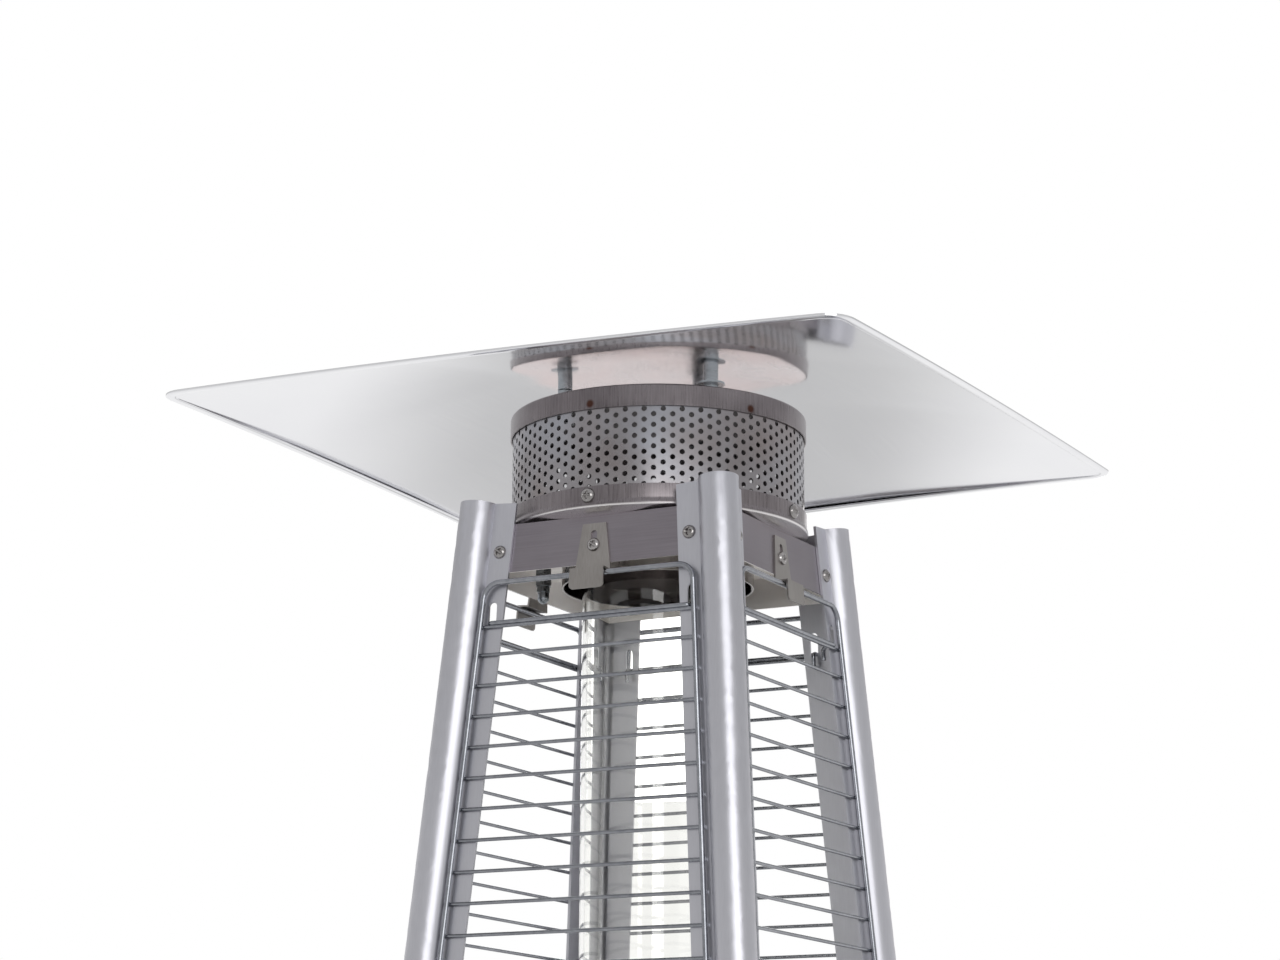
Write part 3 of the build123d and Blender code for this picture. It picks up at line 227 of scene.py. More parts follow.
finishes = {
    # extruded aluminium posts, bead blasted and anodised: soft, even, bluish grey with broad highlights
    "aluminium": brushedFinish("satinAnodisedAluminium", "#bfbfc5", "#b6b6bc", (0.34, 0.38), (0.8, 0.8, 60.0),
                               0.002, 200.0, metallic=0.85),
    # drawn wire, nickel and chrome plated: mirror bright, dark where it turns away
    "chrome_wire": brushedFinish("chromePlatedWire", "#9a9ca1", "#7e8086", (0.12, 0.22), (3.0, 3.0, 3.0),
                                 0.004, 25.0),
    # folded ferritic stainless sheet, dulled by heat: warm dark grey with long level rolling streaks
    "box_steel": brushedFinish("heatDulledStainlessSheet", "#8e898e", "#807a80", (0.3, 0.42), (40.0, 40.0, 0.9),
                               0.003, 60.0),
    # small clips punched from rolled stainless strip: a warm light grey with short upright rolling streaks
    "clip_steel": brushedFinish("rolledStainlessClip", "#9f9b98", "#8e8a87", (0.3, 0.4), (0.7, 0.7, 12.0),
                                0.005, 25.0),
    # rolled stainless sheet round the flue: bright and fairly sharp outside, dark brown on its inner face
    "collar_steel": brushedFinish("rolledStainlessCollar", "#b5b1ae", "#a09c99", (0.14, 0.26), (0.5, 0.5, 20.0),
                                  0.003, 50.0, zones=[("radius", 64.3, 63.9, "#5d5553")]),
    # the same sheet on the flat shield and inside the box, soft and painted nearly white: a painted reflection of
    # the bright surround that these faces mirror
    "painted_reflection_steel": brushedFinish("paintedReflectionStainless", "#fffdfb", "#faf6f3", (0.4, 0.5), (30.0, 30.0, 30.0),
                                    0.002, 60.0),
    # spun and pressed stainless, tinted by heat: brownish grey with fine upright scratches;
    # a near-white painted highlight runs along the pan's lower curve, and two spots of the lid are burnt brown
    "drum_steel": brushedFinish("spunSteelHeatTintAndPaintedHighlight", "#918b8d", "#6a6466", (0.24, 0.40), (0.9, 0.9, 25.0),
                                # the height zone is a painted highlight along the pan's lower curve; the two spots
                                # are heat stains
                                0.008, 45.0, zones=[("height", 2150.3, 2149.3, "#dedbdb"),
                                                    ((1.06, -100.8, 2218.5), 3.4, 1.8, "#4c332b"),
                                                    ((90.6, -44.2, 2218.0), 3.4, 1.8, "#4c332b")]),
    # the same steel on the lid's flat top, keeping its spun shine but painted pale with a warm cast: painted light
    # that stands in for light bouncing between the lid and the polished reflector over it
    "lid_top_painted_light": brushedFinish("paintedLightLidTop", "#fff6f2", "#fdeae4", (0.2, 0.3), (30.0, 30.0, 30.0),
                             0.002, 60.0),
    # punched stainless sheet rolled round the drum: silver grey, clouded darker brown in broad random patches
    "screen_steel": brushedFinish("perforatedSteelBrownClouded", "#a0a2a8", "#857b78", (0.24, 0.38),
                                  (60.0, 60.0, 60.0), 0.004, 70.0),
    # rolled aluminium sheet, bright polished: a near mirror whose fine straight grain hardly shows
    "reflector_steel": brushedFinish("polishedAluminiumSheet", "#eaeaec", "#e4e4e7", (0.08, 0.13),
                                     (0.6, 60.0, 60.0), 0.0015, 120.0, lean=0.25),
    # its upper side, left as the mill rolled it: a dull light grey that mirrors nothing clearly
    "dish_top": brushedFinish("millFinishAluminium", "#b6b6b9", "#a9a9ad", (0.35, 0.45), (0.6, 60.0, 60.0),
                              0.002, 90.0),
    # its folded hem, polished with it: bright, and as small as it is it mirrors at its full lean
    "hem_steel": brushedFinish("polishedAluminiumHem", "#eaeaec", "#e4e4e7", (0.08, 0.13), (30.0, 30.0, 30.0),
                               0.0015, 120.0),
    # turned steel, zinc plated: cool grey with bright rings
    "stud_steel": brushedFinish("zincPlatedSteel", "#a3a8ac", "#858a8f", (0.15, 0.3), (20.0, 20.0, 0.6),
                                0.005, 20.0),
    # cold headed and tumbled stainless screws: small sharp highlights on a slightly clouded grey
    "screw_steel": brushedFinish("stainlessScrewSteel", "#a9a6a5", "#7f7c7b", (0.1, 0.18), (2.0, 2.0, 2.0),
                                 0.004, 10.0),
    # pressed stainless deck and burner parts: plain grey with level streaks from the rolling mill
    "deck_steel": brushedFinish("pressedStainlessSteel", "#a5a3a1", "#85827f", (0.25, 0.4), (0.6, 40.0, 40.0),
                                0.008, 60.0),
    # machined brass: warm yellow with a fine all-round tool grain
    "brass": brushedFinish("machinedBrass", "#c9a764", "#a88748", (0.2, 0.35), (0.6, 0.6, 0.6), 0.004, 15.0),
    # drawn steel tube: neutral light grey with faint drawing lines
    "pipe_steel": brushedFinish("drawnSteelTube", "#b0b0b0", "#8f8f8f", (0.2, 0.35), (1.0, 1.0, 20.0), 0.004, 30.0),
    # cold rolled stainless sheet brushed upright after folding: satin with soft upright streaks
    "panel_steel": brushedFinish("brushedStainlessPanel", "#b1b0af", "#a7a6a5", (0.28, 0.4), (0.7, 0.7, 60.0),
                                 0.01, 150.0),
    # bent stainless bar, satin polished by hand: a little brighter than the panels, streaks along its length
    "handle_steel": brushedFinish("satinStainlessSteel", "#b7b6b5", "#9c9b9a", (0.22, 0.34), (0.6, 0.6, 20.0),
                                  0.005, 40.0),
    # round steel bar, zinc plated: cool grey with streaks along the axle
    "axle_steel": brushedFinish("zincPlatedAxle", "#a3a8ac", "#8a8f94", (0.2, 0.35), (20.0, 0.8, 0.8), 0.004, 20.0),
}


def mouldedFinish(name, colour, rough, grit, bump, shade, shadeShare, coat=0.0):
    # moulded, sprayed or fired surface: one colour that clouds slightly, with a grit `grit` millimetres across
    cloudSize, glossSpread = 60.0, 0.06    # millimetres, and roughness to both sides of its middle
    material, tree, shader = newFinish(name)
    place = addNode(tree, "ShaderNodeTexCoord").outputs["Object"]
    cloud = addNode(tree, "ShaderNodeTexNoise", Vector=place, Scale=1 / (cloudSize * mm), Detail=4.0).outputs["Fac"]
    grain = addNode(tree, "ShaderNodeTexNoise", Vector=place, Scale=1 / (grit * mm), Detail=2.0).outputs["Fac"]
    share = addNode(tree, "ShaderNodeMapRange", Value=cloud, From_Min=0.35, From_Max=0.65,
                    To_Max=shadeShare).outputs["Result"]
    colourNode = addNode(tree, "ShaderNodeMix", {"data_type": "RGBA"}, i0=share, i6=fromHex(colour),
                         i7=fromHex(shade))
    gloss = addNode(tree, "ShaderNodeMapRange", Value=cloud, From_Min=0.3, From_Max=0.7,
                    To_Min=rough - glossSpread, To_Max=rough + glossSpread).outputs["Result"]
    relief = addNode(tree, "ShaderNodeBump", Height=grain, Strength=1.0, Distance=bump * mm).outputs["Normal"]
    tree.links.new(colourNode.outputs[2], shader.inputs["Base Color"])
    tree.links.new(gloss, shader.inputs["Roughness"])
    tree.links.new(relief, shader.inputs["Normal"])
    shader.inputs["Coat Weight"].default_value = coat
    return material


finishes.update({
    # ceramic insulator, glazed and fired: creamy white with a wet shine
    "ceramic": mouldedFinish("glazedCeramic", "#ece8df", 0.2, 1.0, 0.005, "#b8ae9c", 0.3, 0.4),
    # rope gasket woven from ceramic fibre: matt beige, coarse and shaded between its strands
    "gasket": mouldedFinish("wovenCeramicRope", "#c9c0ae", 0.9, 1.2, 0.3, "#6a6152", 0.5),
    # nylon, moulded with a spark-eroded grain: near black, even and half matt
    "dial_black": mouldedFinish("mouldedNylon", "#1b1b1d", 0.5, 0.6, 0.02, "#303034", 0.4),
    # phenolic resin, pressed in a polished mould: deep black with a clean highlight
    "knob_black": mouldedFinish("mouldedPhenolic", "#161618", 0.3, 0.8, 0.008, "#2a2a2e", 0.4, 0.2),
    # ABS, moulded smooth: strong red with a soft shine
    "button_red": mouldedFinish("mouldedRedAbs", "#b01d16", 0.35, 0.8, 0.008, "#7c120d", 0.4, 0.2),
    # steel tray with a textured powder coat: charcoal with a fine pebbled grain
    "base_black": mouldedFinish("texturedPowderCoat", "#232426", 0.55, 0.7, 0.06, "#3b3c3f", 0.5),
    # steel bracket with the same coat, a little smoother on its narrow faces
    "bracket_black": mouldedFinish("powderCoatedBracket", "#232426", 0.5, 0.7, 0.05, "#3b3c3f", 0.5),
    # polypropylene, moulded: dark grey with a waxy half shine
    "hub_plastic": mouldedFinish("mouldedPolypropylene", "#2c2d30", 0.45, 0.9, 0.02, "#424348", 0.4),
    # solid rubber tyre, moulded and dusty from the ground: matt, brownish black
    "tyre": mouldedFinish("mouldedRubberTyre", "#18181a", 0.75, 0.7, 0.05, "#33322f", 0.6),
    # rubber feet, moulded: matt black that shows hardly any highlight
    "rubber": mouldedFinish("mouldedRubber", "#1a1a1b", 0.8, 0.8, 0.05, "#343331", 0.6),
})

quartz = {
    "colour": "#fdfdfb", "index": 1.46, "roughest": 0.02,
    "waveAcross": 25.0, "waveAlong": 180.0, "waveDepth": 0.05,    # millimetres
}


def quartzFinish():
    # fused quartz tube, drawn: clear, very smooth, with a faint warm body colour and soft waves along it
    d = quartz
    material, tree, shader = newFinish("drawnQuartzGlass")
    place = addNode(tree, "ShaderNodeTexCoord").outputs["Object"]
    waves = [1 / (d[key] * mm) for key in ("waveAcross", "waveAcross", "waveAlong")]
    stretch = addNode(tree, "ShaderNodeMapping", Vector=place, Scale=waves)
    wave = addNode(tree, "ShaderNodeTexNoise", Vector=stretch.outputs["Vector"], Scale=1.0,
                   Detail=1.0).outputs["Fac"]
    relief = addNode(tree, "ShaderNodeBump", Height=wave, Strength=1.0,
                     Distance=d["waveDepth"] * mm).outputs["Normal"]
    gloss = addNode(tree, "ShaderNodeMapRange", Value=wave, To_Min=0.0, To_Max=d["roughest"]).outputs["Result"]
    tree.links.new(relief, shader.inputs["Normal"])
    tree.links.new(gloss, shader.inputs["Roughness"])
    shader.inputs["Base Color"].default_value = fromHex(d["colour"])
    shader.inputs["Transmission Weight"].default_value = 1.0
    shader.inputs["IOR"].default_value = d["index"]
    return material


finishes["glass"] = quartzFinish()
print("finishes made:", len(finishes))

# The near-white painted reflection goes on the shield outside this radius, and on the box's inner faces, which lie
# this far in
paintedReflectionReach = {"shieldFrom": 66.0, "boxInside": 0.6}

slotOfNode = {part["node"]: part["material_slot"] for part in frame["record"]["subparts"]}
for name, node in nodes.items():
    node.data.materials.clear()
    node.data.materials.append(finishes[slotOfNode[name]])
nodes["guard_clips"].data.materials[0] = finishes["clip_steel"]
# the shield part of the flue collar and the box's inner faces take the near-white painted reflection as their
# second finish
for name in ("flue_collar", "top_box"):
    mesh = nodes[name].data
    mesh.materials.append(finishes["painted_reflection_steel"])
    middles = np.array([face.center[:] for face in mesh.polygons])
    if name == "flue_collar":
        paintedBright = np.hypot(middles[:, 0], middles[:, 1]) > paintedReflectionReach["shieldFrom"] * mm
    else:
        half = abs(middles[:, :2]).max(1) + taper * middles[:, 2]
        within = half < (pyramid["baseHalf"] - paintedReflectionReach["boxInside"]) * mm
        paintedBright = within & (middles[:, 2] < (pyramid["boxTop"] - paintedReflectionReach["boxInside"]) * mm)
    mesh.polygons.foreach_set("material_index", paintedBright.astype(int))
print("finishes put on the CAD nodes")


# Reflector: a shallow square dish over the drum, hollow side down, with a hem folded under its rim
reflectorDish = {
    "half": 243.2, "corner": 17.0, "rim": 2219.5, "rise": 31.5, "flat": 0.27, "bend": 1.3, "thick": 1.0,
    "droop": 8.6e-5,          # the near and far corners hang lower: millimetres per square millimetre
    "rings": 44, "crowding": 1.6, "sidePoints": 44, "cornerPoints": 9,
    "hemWidth": 7.0, "hemThick": 2.0, "hemPoints": 20, "hemSquareness": 0.35,
}


def roundedSquare(half, corner, sidePoints, cornerPoints):
    # outline of a square with round corners, and its outward directions, from even points on sides and arcs
    arc = np.linspace(0, math.pi / 2, cornerPoints)
    along = np.linspace(corner - half, half - corner, sidePoints)[1:-1]
    places, outwards = [], []
    for k in range(4):
        turn = np.array([[math.cos(k * math.pi / 2), -math.sin(k * math.pi / 2)],
                         [math.sin(k * math.pi / 2), math.cos(k * math.pi / 2)]])
        side = np.stack([np.full(len(along), half), along], -1)
        bend = np.stack([half - corner + corner * np.cos(arc), half - corner + corner * np.sin(arc)], -1)
        places += [side @ turn.T, bend @ turn.T]
        outwards += [np.tile([1.0, 0.0], (len(side), 1)) @ turn.T,
                     np.stack([np.cos(arc), np.sin(arc)], -1) @ turn.T]
    return np.concatenate(places), np.concatenate(outwards)


def dishHeight(x, y):
    # height of the dish's underside: rim + rise (1 - s^bend)(1 - t^bend) - droop u^2, where s and t go from 0 at
    # the flat middle's edge to 1 at the rim, and u runs along the diagonal from the near corner to the far one
    d = reflectorDish
    s, t = (np.clip((abs(v) / d["half"] - d["flat"]) / (1 - d["flat"]), 0, 1) for v in (x, y))
    return d["rim"] + d["rise"] * (1 - s ** d["bend"]) * (1 - t ** d["bend"]) - d["droop"] * (x - y) ** 2 / 2


def makeReflector():
    # the dish is the outline shrunk to the middle in rings, each point at the height of dishHeight
    d = reflectorDish
    outline, outwards = roundedSquare(d["half"], d["corner"], d["sidePoints"], d["cornerPoints"])
    # the rings stand closer together near the rim, where the sheet bends
    share = 1 - np.linspace(0, 1, d["rings"]) ** d["crowding"]
    places = share[:, None, None] * outline
    x, y = places[..., 0], places[..., 1]
    under = np.stack([x, y, dishHeight(x, y)], -1).reshape(-1, 3)
    faces = gridFaces(d["rings"], len(outline), False, True)
    dish = walledSheet(under, under + [0, 0, d["thick"]], faces)
    # hem: a flat tube with round edges carried round the rim. Its section is half the width times
    # cos a, made squarer by a power, across and half the thickness times sin a up.
    angle = np.linspace(0, 2 * math.pi, d["hemPoints"], endpoint=False)
    squared = np.sign(np.cos(angle)) * abs(np.cos(angle)) ** d["hemSquareness"]
    flat = squared * d["hemWidth"] / 2 - d["hemWidth"] / 2
    lift = np.sin(angle) * d["hemThick"] / 2 + d["hemThick"] / 4
    ring = outline[:, None] + flat[None, :, None] * outwards[:, None]
    level = dishHeight(outline[:, 0], outline[:, 1])
    hem = np.concatenate([ring, (level[:, None] + lift[None])[..., None]], -1).reshape(-1, 3)
    hemFaces = gridFaces(len(outline), len(angle), True, True)
    piece = addPiece("reflectorDish", [dish], finish=finishes["reflector_steel"], sharpAngle=50)
    piece.data.materials.append(finishes["dish_top"])
    upwards = np.array([face.normal.z for face in piece.data.polygons]) > 0.5    # the sheet's upper side
    piece.data.polygons.foreach_set("material_index", upwards.astype(int))
    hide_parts("reflector")
    rim = addPiece("reflectorHem", [(hem, hemFaces)], finish=finishes["hem_steel"], sharpAngle=60)


makeReflector()
print("reflector made")


# Drum: pan, perforated screen and lid
drum = {
    "columns": 100, "holeRadius": 1.8, "low": 2152.0, "high": 2228.6, "screenThick": 1.0,
    "sheet": 1.2, "cutEdge": 0.3, "lidBottom": 2215.0, "lidEdge": 2.5, "lidTopDepth": 0.3,
    "floorInner": 65.0, "floorOuter": 94.0, "bandTop": 2163.0,
    "bead": 0.9, "beadHeight": 2149.6, "beadSwell": 1.4, "beadEnd": 3.4,    # the last two over beadHeight
    "floorBend": 3.0, "floorBendInside": 2.0, "beadInside": 0.8, "beadFade": 1.0,    # how its curves are rounded
    "sectors": 128, "curveSteps": 6,
}


def perforatedField(columns, radius, holeRadius, low, high):
    # holes on a triangular lattice: a hexagonal cell round each, whose corners and side middles are joined
    # to as many points of the hole. Returns distances round and up, and the faces.
    sides, steps = 12, 24    # points round a hole; even steps in a pitch, and every cell corner is on one
    pitchAcross = 2 * math.pi * radius / columns
    pitchUp = pitchAcross * 2 / math.sqrt(3)
    rows = int((high - low) / pitchUp) + 2
    i, j = np.meshgrid(np.arange(columns), np.arange(rows), indexing="ij")
    middle = np.stack([i * pitchAcross, low + (j + (i % 2) / 2) * pitchUp], -1).reshape(-1, 1, 2)
    k = np.arange(sides)
    angle = k * 2 * math.pi / sides
    reach = np.where(k % 2 == 0, pitchUp / math.sqrt(3), pitchUp / 2)
    direction = np.stack([np.cos(angle), np.sin(angle)], -1)
    cell = middle + direction * reach[:, None]
    hole = middle + direction * holeRadius
    points = np.concatenate([cell, hole], 1)
    points[..., 1] = np.clip(points[..., 1], low, high)
    count = len(points)
    quad = np.stack([k, (k + 1) % sides, sides + (k + 1) % sides, sides + k], -1)
    faces = (quad[None] + 2 * sides * np.arange(count)[:, None, None]).reshape(-1, 4)
    # a cell's points move to their steps, so that neighbours share them and the last column meets the first
    flat = points.reshape(-1, 2)
    onCell = np.tile(np.repeat([True, False], sides), count)
    step = np.round(flat[:, 0] / pitchAcross * steps) % (steps * columns)
    exact = np.stack([np.where(onCell, step / steps * pitchAcross, flat[:, 0]), flat[:, 1]], -1)
    _, first, inverse = np.unique(np.round(exact, 3), axis=0, return_index=True, return_inverse=True)
    faces = inverse.reshape(-1)[faces]
    cornersLeft = np.array([len(set(face)) for face in faces.tolist()])    # the clipping flattens some faces
    return exact[first], faces[cornersLeft == 4]


def makeDrum():
    # the screen is the field rolled up: its distance round over the radius is the angle.
    # Lid and pan are sections of (radius, height, rounding of that corner) turned round the axis.
    d, r, screenRadius = drum, pyramid["drumRadius"], pyramid["screenRadius"]
    flat, faces = perforatedField(d["columns"], screenRadius, d["holeRadius"], d["low"], d["high"])
    turn = flat[:, 0] / screenRadius
    around = np.stack([np.cos(turn), np.sin(turn), 0 * turn], -1)
    rise = np.stack([0 * turn, 0 * turn, flat[:, 1]], -1)
    outer, inner = around * screenRadius + rise, around * (screenRadius - d["screenThick"]) + rise
    screen = addPiece("ventScreen", [walledSheet(outer, inner, faces)], finish=finishes["screen_steel"])
    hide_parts("perforated_screen")

    top, low, s, cut = pyramid["drumTop"], d["lidBottom"], d["sheet"], d["cutEdge"]
    section = np.array([
        (0, top, 0), (r, top, d["lidEdge"]), (r, low, cut),
        (r - s, low, cut), (r - s, top - s, d["lidEdge"] - s), (0, top - s, 0),
    ])
    lidLine = rounded(section[:, :2], section[:, 2], d["curveSteps"])
    lid = addPiece("drumLid", [turnedShell(lidLine, d["sectors"])], finish=finishes["drum_steel"])
    # the lid's flat top takes the pale painted light
    lid.data.materials.append(finishes["lid_top_painted_light"])
    heights = np.array([face.center.z for face in lid.data.polygons])
    lid.data.polygons.foreach_set("material_index", (heights > (top - d["lidTopDepth"]) * mm).astype(int))
    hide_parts("drum_lid")

    z, b, e = pyramid["boxTop"], d["bead"], d["beadHeight"]
    swell, beadTop, high = e + d["beadSwell"], e + d["beadEnd"], d["bandTop"]
    inside, fade = d["beadInside"], d["beadFade"]
    section = np.array([
        (d["floorInner"], z, cut), (d["floorOuter"], z, d["floorBend"]),
        (r + b, e - s / 2, s), (r + b, swell, s), (r, beadTop, fade),
        (r, high, cut), (r - s, high, cut),
        (r - s, beadTop, fade), (r + b - s, swell, inside), (r + b - s, e, inside),
        (d["floorOuter"], z + s, d["floorBendInside"]), (d["floorInner"], z + s, cut),
    ])
    panLine = rounded(section[:, :2], section[:, 2], d["curveSteps"])
    pan = addPiece("drumPan", [turnedShell(panLine, d["sectors"])], finish=finishes["drum_steel"])
    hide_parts("drum_pan")


makeDrum()
print("drum made")


# Pan head screws with a cross recess
panHead = {
    "radius": 4.6, "height": 2.9, "domePower": 2.1, "shank": 2.0, "tip": 0.6,
    "recessDepth": 1.4, "recessHalf": 0.85, "recessLength": 2.9,    # half width and length at its rim
    "wallRun": 0.3, "endRun": 0.9,                                  # how far its walls and ends slope in
    "recessWithin": 0.8,                                            # share of the radius that it may reach
    "rings": 16, "sectors": 40,
}


def panHeadShape(length, radius):
    # head: height (1 - (r/R)^domePower)^0.5 over the radius r, less a cross-shaped recess whose walls slope;
    # below its seat a plain shank. Local z points outwards.
    d = panHead
    share = np.linspace(0, 1, d["rings"])[:, None]
    angle = np.linspace(0, 2 * math.pi, d["sectors"], endpoint=False)[None]
    x, y = radius * share * np.cos(angle), radius * share * np.sin(angle)
    dome = d["height"] * np.sqrt(1 - share ** d["domePower"]) + 0 * angle

    def slot(a, b):
        across = np.clip((d["recessHalf"] - abs(a)) / d["wallRun"], 0, 1)
        along = np.clip((d["recessLength"] - abs(b)) / d["endRun"], 0, 1)
        return across * along

    recess = np.maximum(slot(x, y), slot(y, x)) * d["recessDepth"]
    head = np.stack([x, y, dome - recess * (share < d["recessWithin"])], -1)
    s, tip = d["shank"], d["tip"]
    r, z = np.array([(s, 0), (s, tip - length), (s - tip, -length), (0, -length)]).T[..., None]
    shank = np.stack([r * np.cos(angle), r * np.sin(angle), z + 0 * angle], -1)
    points = np.concatenate([head, shank])
    return points.reshape(-1, 3), gridFaces(len(points), d["sectors"], False, True)


def placed(part, origin, xAxis, zAxis):
    # a part's points moved to a place: local z along zAxis, local x along xAxis
    points, faces = part
    z = np.asarray(zAxis, float) / np.linalg.norm(zAxis)
    x = np.asarray(xAxis, float) - z * np.dot(xAxis, z)
    x /= np.linalg.norm(x)
    return np.asarray(points) @ np.stack([x, np.cross(z, x), z]) + origin, faces


screws = {
    "postHeights": (2127.2, 862.0, 84.0), "postFromCorner": 21.2, "postOut": 2.0, "postLength": 7.0,
    "clipHeight": 2125.8, "clipOut": 1.2, "clipLength": 8.2,
    "drumHeight": 2157.0, "drumLength": 6.0, "drumHead": 5.0,
    # each recess stands at its own angle, a fixed step on from the last; its arm leans about as the faces do
    "firstTurn": 0.4, "turnStep": 2.1, "armLean": 0.07,
}


def makeScrews():
    d = screws
    shape = {d["postLength"]: panHeadShape(d["postLength"], panHead["radius"]),
             d["clipLength"]: panHeadShape(d["clipLength"], panHead["radius"]),
             d["drumLength"]: panHeadShape(d["drumLength"], d["drumHead"])}
    turn = d["firstTurn"]
    groups = {"postScrews": [], "clipScrews": [], "drumScrews": []}

    def add(group, length, origin, out, quarter):
        nonlocal turn
        turn += d["turnStep"]
        xAxis = np.array([math.cos(turn), d["armLean"] * math.sin(turn), math.sin(turn)])
        points, faces = placed(shape[length], origin, xAxis, out)
        groups[group].append((quarterTurn(points, quarter), faces))

    for quarter in range(4):
        for z in d["postHeights"]:
            for side in (-1, 1):
                x = side * (faceHalf(z) - d["postFromCorner"])
                add("postScrews", d["postLength"], onFace(x, z, d["postOut"]), faceOut, quarter)
        add("clipScrews", d["clipLength"], onFace(0, d["clipHeight"], d["clipOut"]), faceOut, quarter)
        seat = np.array([0, -pyramid["drumRadius"], d["drumHeight"]])
        add("drumScrews", d["drumLength"], seat, (0, -1, 0), quarter)
    for name, node in (("postScrews", "post_screws"), ("clipScrews", "clip_screws"), ("drumScrews", "drum_screws")):
        piece = addPiece(name, groups[name], finish=finishes["screw_steel"], sharpAngle=40)
        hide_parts(node)


makeScrews()
print("screws made")


# Floor, light and camera
studio = {
    "floorHalf": 12.0, "floorColour": "#e6e6e4", "floorRoughness": 0.8, "ambience": 0.72,
    "straightAway": (-0.46, 0.888, 0.0), "across": (0.888, 0.46, 0.0),    # level directions of the photograph
    # how bright polished metal sees the studio, by the direction's height from -1, straight down, to 1.
    # Away from the camera stands a white backdrop, towards it grey walls, and over both a dim ceiling.
    "away": [(-1.0, 0.85), (-0.3, 1.0), (-0.05, 1.0), (0.12, 1.0), (0.27, 0.6), (0.45, 0.5), (0.7, 0.3)],
    "towards": [(-1.0, 0.85), (-0.2, 0.8), (0.2, 0.74), (0.45, 0.6), (0.7, 0.3)],
    "turning": (-0.2, 0.4),      # the walls give way to the backdrop between these shares of straight away
    # a grey gap in the low backdrop, by the sideways distance from its middle, and the heights it ends between
    "gap": [(0.0, 0.58), (0.04, 0.64), (0.05, 0.7), (0.065, 0.82), (0.08, 0.92), (0.095, 1.0)],
    "gapMiddle": 0.013, "gapReach": 0.2, "gapTop": (-0.1, -0.15),
    "lamps": [
        # name, place, aim, size, power
        ("keyLamp", (2.5, -3.1, 2.9), (0, 0, 1.9), (2.8, 2.2), 52),
        ("backLamp", (-1.4, 3.8, 3.4), (0, 0, 1.6), (2.4, 1.8), 20),
    ],
}


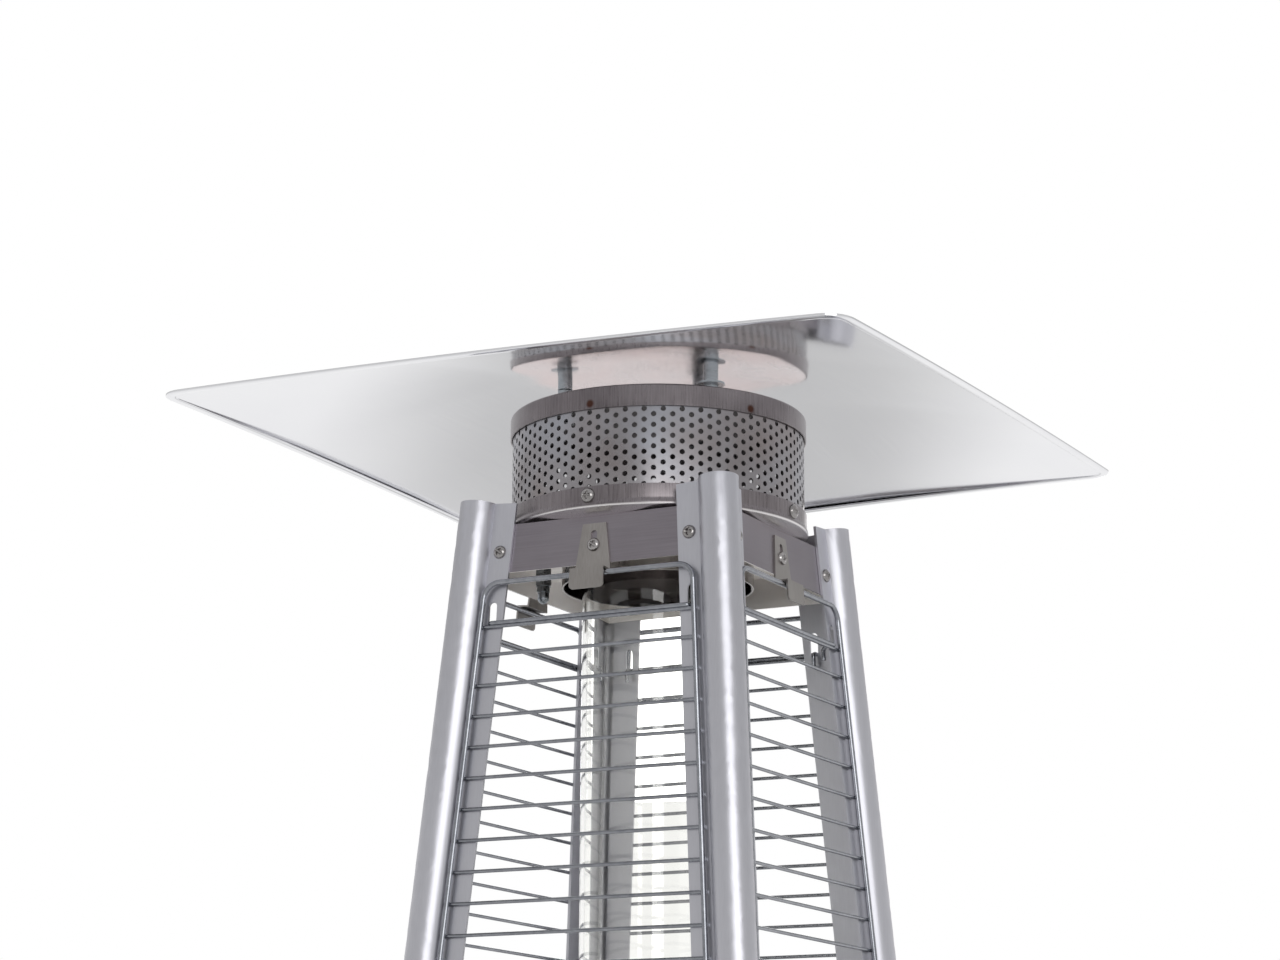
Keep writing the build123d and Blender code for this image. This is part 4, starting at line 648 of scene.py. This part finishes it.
def makeStudio():
    d = studio
    h = d["floorHalf"]
    mesh = bpy.data.meshes.new("studioFloor")
    mesh.from_pydata([(-h, -h, 0), (h, -h, 0), (h, h, 0), (-h, h, 0)], [], [(0, 1, 2, 3)])
    floor = bpy.data.objects.new("studioFloor", mesh)
    bpy.context.scene.collection.objects.link(floor)
    material, tree, shader = newFinish("paintedFloor")
    shader.inputs["Base Color"].default_value = fromHex(d["floorColour"])
    shader.inputs["Roughness"].default_value = d["floorRoughness"]
    mesh.materials.append(material)
    floor.visible_glossy = False    # metal sees the surround below the horizon instead

    # the world: white for the camera and through glass, the surround's levels for gloss, plain for the rest
    world = bpy.data.worlds.new("studioWorld")
    bpy.context.scene.world = world
    world.use_nodes = True
    tree = world.node_tree
    background = tree.nodes["Background"]
    path = addNode(tree, "ShaderNodeLightPath")
    ray = addNode(tree, "ShaderNodeTexCoord").outputs["Generated"]
    height = addNode(tree, "ShaderNodeSeparateXYZ", Vector=ray).outputs["Z"]
    forward = addNode(tree, "ShaderNodeVectorMath", {"operation": "DOT_PRODUCT"}, i0=ray, i1=d["straightAway"])
    sideways = addNode(tree, "ShaderNodeVectorMath", {"operation": "DOT_PRODUCT"}, i0=ray, i1=d["across"])
    offset = addNode(tree, "ShaderNodeMath", {"operation": "SUBTRACT"}, i0=sideways.outputs["Value"],
                     i1=d["gapMiddle"])
    offset = addNode(tree, "ShaderNodeMath", {"operation": "ABSOLUTE"}, i0=offset.outputs[0]).outputs[0]
    white = (1, 1, 1, 1)
    levels = {}
    for key, place, start, end in (("away", height, -1.0, 1.0), ("towards", height, -1.0, 1.0),
                                   ("gap", offset, 0.0, d["gapReach"])):
        scaled = addNode(tree, "ShaderNodeMapRange", Value=place, From_Min=start, From_Max=end)
        ramp = addNode(tree, "ShaderNodeValToRGB", Fac=scaled.outputs["Result"])
        stops = ramp.color_ramp.elements
        stops.remove(stops[1])
        first, *others = d[key]
        stops[0].color = (first[1], first[1], first[1], 1)
        for value, level in others:
            stops.new((value - start) / (end - start)).color = (level, level, level, 1)
        levels[key] = ramp.outputs["Color"]
    # the gap lies below the horizon only
    below = addNode(tree, "ShaderNodeMapRange", Value=height, From_Min=d["gapTop"][0], From_Max=d["gapTop"][1])
    low = addNode(tree, "ShaderNodeMix", {"data_type": "RGBA"}, i0=below.outputs["Result"], i6=white,
                  i7=levels["gap"])
    away = addNode(tree, "ShaderNodeMix", {"data_type": "RGBA", "blend_type": "MULTIPLY"}, i0=1.0,
                   i6=levels["away"], i7=low.outputs[2])
    turned = addNode(tree, "ShaderNodeMapRange", Value=forward.outputs["Value"], From_Min=d["turning"][0],
                     From_Max=d["turning"][1])
    surround = addNode(tree, "ShaderNodeMix", {"data_type": "RGBA"}, i0=turned.outputs["Result"],
                       i6=levels["towards"], i7=away.outputs[2])
    # only the first mirrored look meets the grey parts: light between two sheets comes from a white room
    deeper = addNode(tree, "ShaderNodeMapRange", Value=path.outputs["Glossy Depth"], From_Min=1.0, From_Max=2.0)
    surround = addNode(tree, "ShaderNodeMix", {"data_type": "RGBA"}, i0=deeper.outputs["Result"],
                       i6=surround.outputs[2], i7=white)
    plain = (d["ambience"], d["ambience"], d["ambience"], 1)
    glossy = addNode(tree, "ShaderNodeMix", {"data_type": "RGBA"}, i0=path.outputs["Is Glossy Ray"], i6=plain,
                     i7=surround.outputs[2])
    seen = addNode(tree, "ShaderNodeMath", {"operation": "MAXIMUM"}, i0=path.outputs["Is Camera Ray"],
                   i1=path.outputs["Is Transmission Ray"])
    shown = addNode(tree, "ShaderNodeMix", {"data_type": "RGBA"}, i0=seen.outputs[0], i6=glossy.outputs[2],
                    i7=white)
    tree.links.new(shown.outputs[2], background.inputs["Color"])
    background.inputs["Strength"].default_value = 1.0

    for name, place, aim, size, power in d["lamps"]:
        light = bpy.data.lights.new(name, "AREA")
        light.shape, light.size, light.size_y, light.energy = "RECTANGLE", size[0], size[1], power
        lamp = bpy.data.objects.new(name, light)
        bpy.context.scene.collection.objects.link(lamp)
        back = np.subtract(place, aim)
        back /= np.linalg.norm(back)
        side = np.cross([0, 0, 1], back)
        side /= np.linalg.norm(side)
        turn = Matrix(np.stack([side, np.cross(back, side), back], -1).tolist()).to_4x4()
        turn.translation = place
        lamp.matrix_world = turn


cameraFit = {
    "place": (0.92577, -1.8158, 1.69088),
    "yaw": -27.363, "pitch": 13.741, "roll": 0.286,    # degrees
    "lens": 86.73, "sensor": 36.0,                     # millimetres
}


def makeCamera():
    # the photograph's camera, from a fit to the edges of the drum, box and posts
    d = cameraFit
    yaw, pitch, roll = (math.radians(d[k]) for k in ("yaw", "pitch", "roll"))
    ahead = np.array([math.sin(yaw) * math.cos(pitch), math.cos(yaw) * math.cos(pitch), math.sin(pitch)])
    right = np.array([math.cos(yaw), -math.sin(yaw), 0])
    up = np.cross(right, ahead)
    rolledRight = math.cos(roll) * right + math.sin(roll) * up
    rolledUp = -math.sin(roll) * right + math.cos(roll) * up
    data = bpy.data.cameras.new("photoCamera")
    data.lens, data.sensor_width, data.sensor_fit = d["lens"], d["sensor"], "HORIZONTAL"
    camera = bpy.data.objects.new("photoCamera", data)
    bpy.context.scene.collection.objects.link(camera)
    turn = Matrix(np.stack([rolledRight, rolledUp, -ahead], -1).tolist()).to_4x4()
    turn.translation = d["place"]
    camera.matrix_world = turn
    bpy.context.scene.camera = camera


makeStudio()
makeCamera()
bpy.context.scene.view_settings.view_transform = "Standard"
print("studio and camera made")
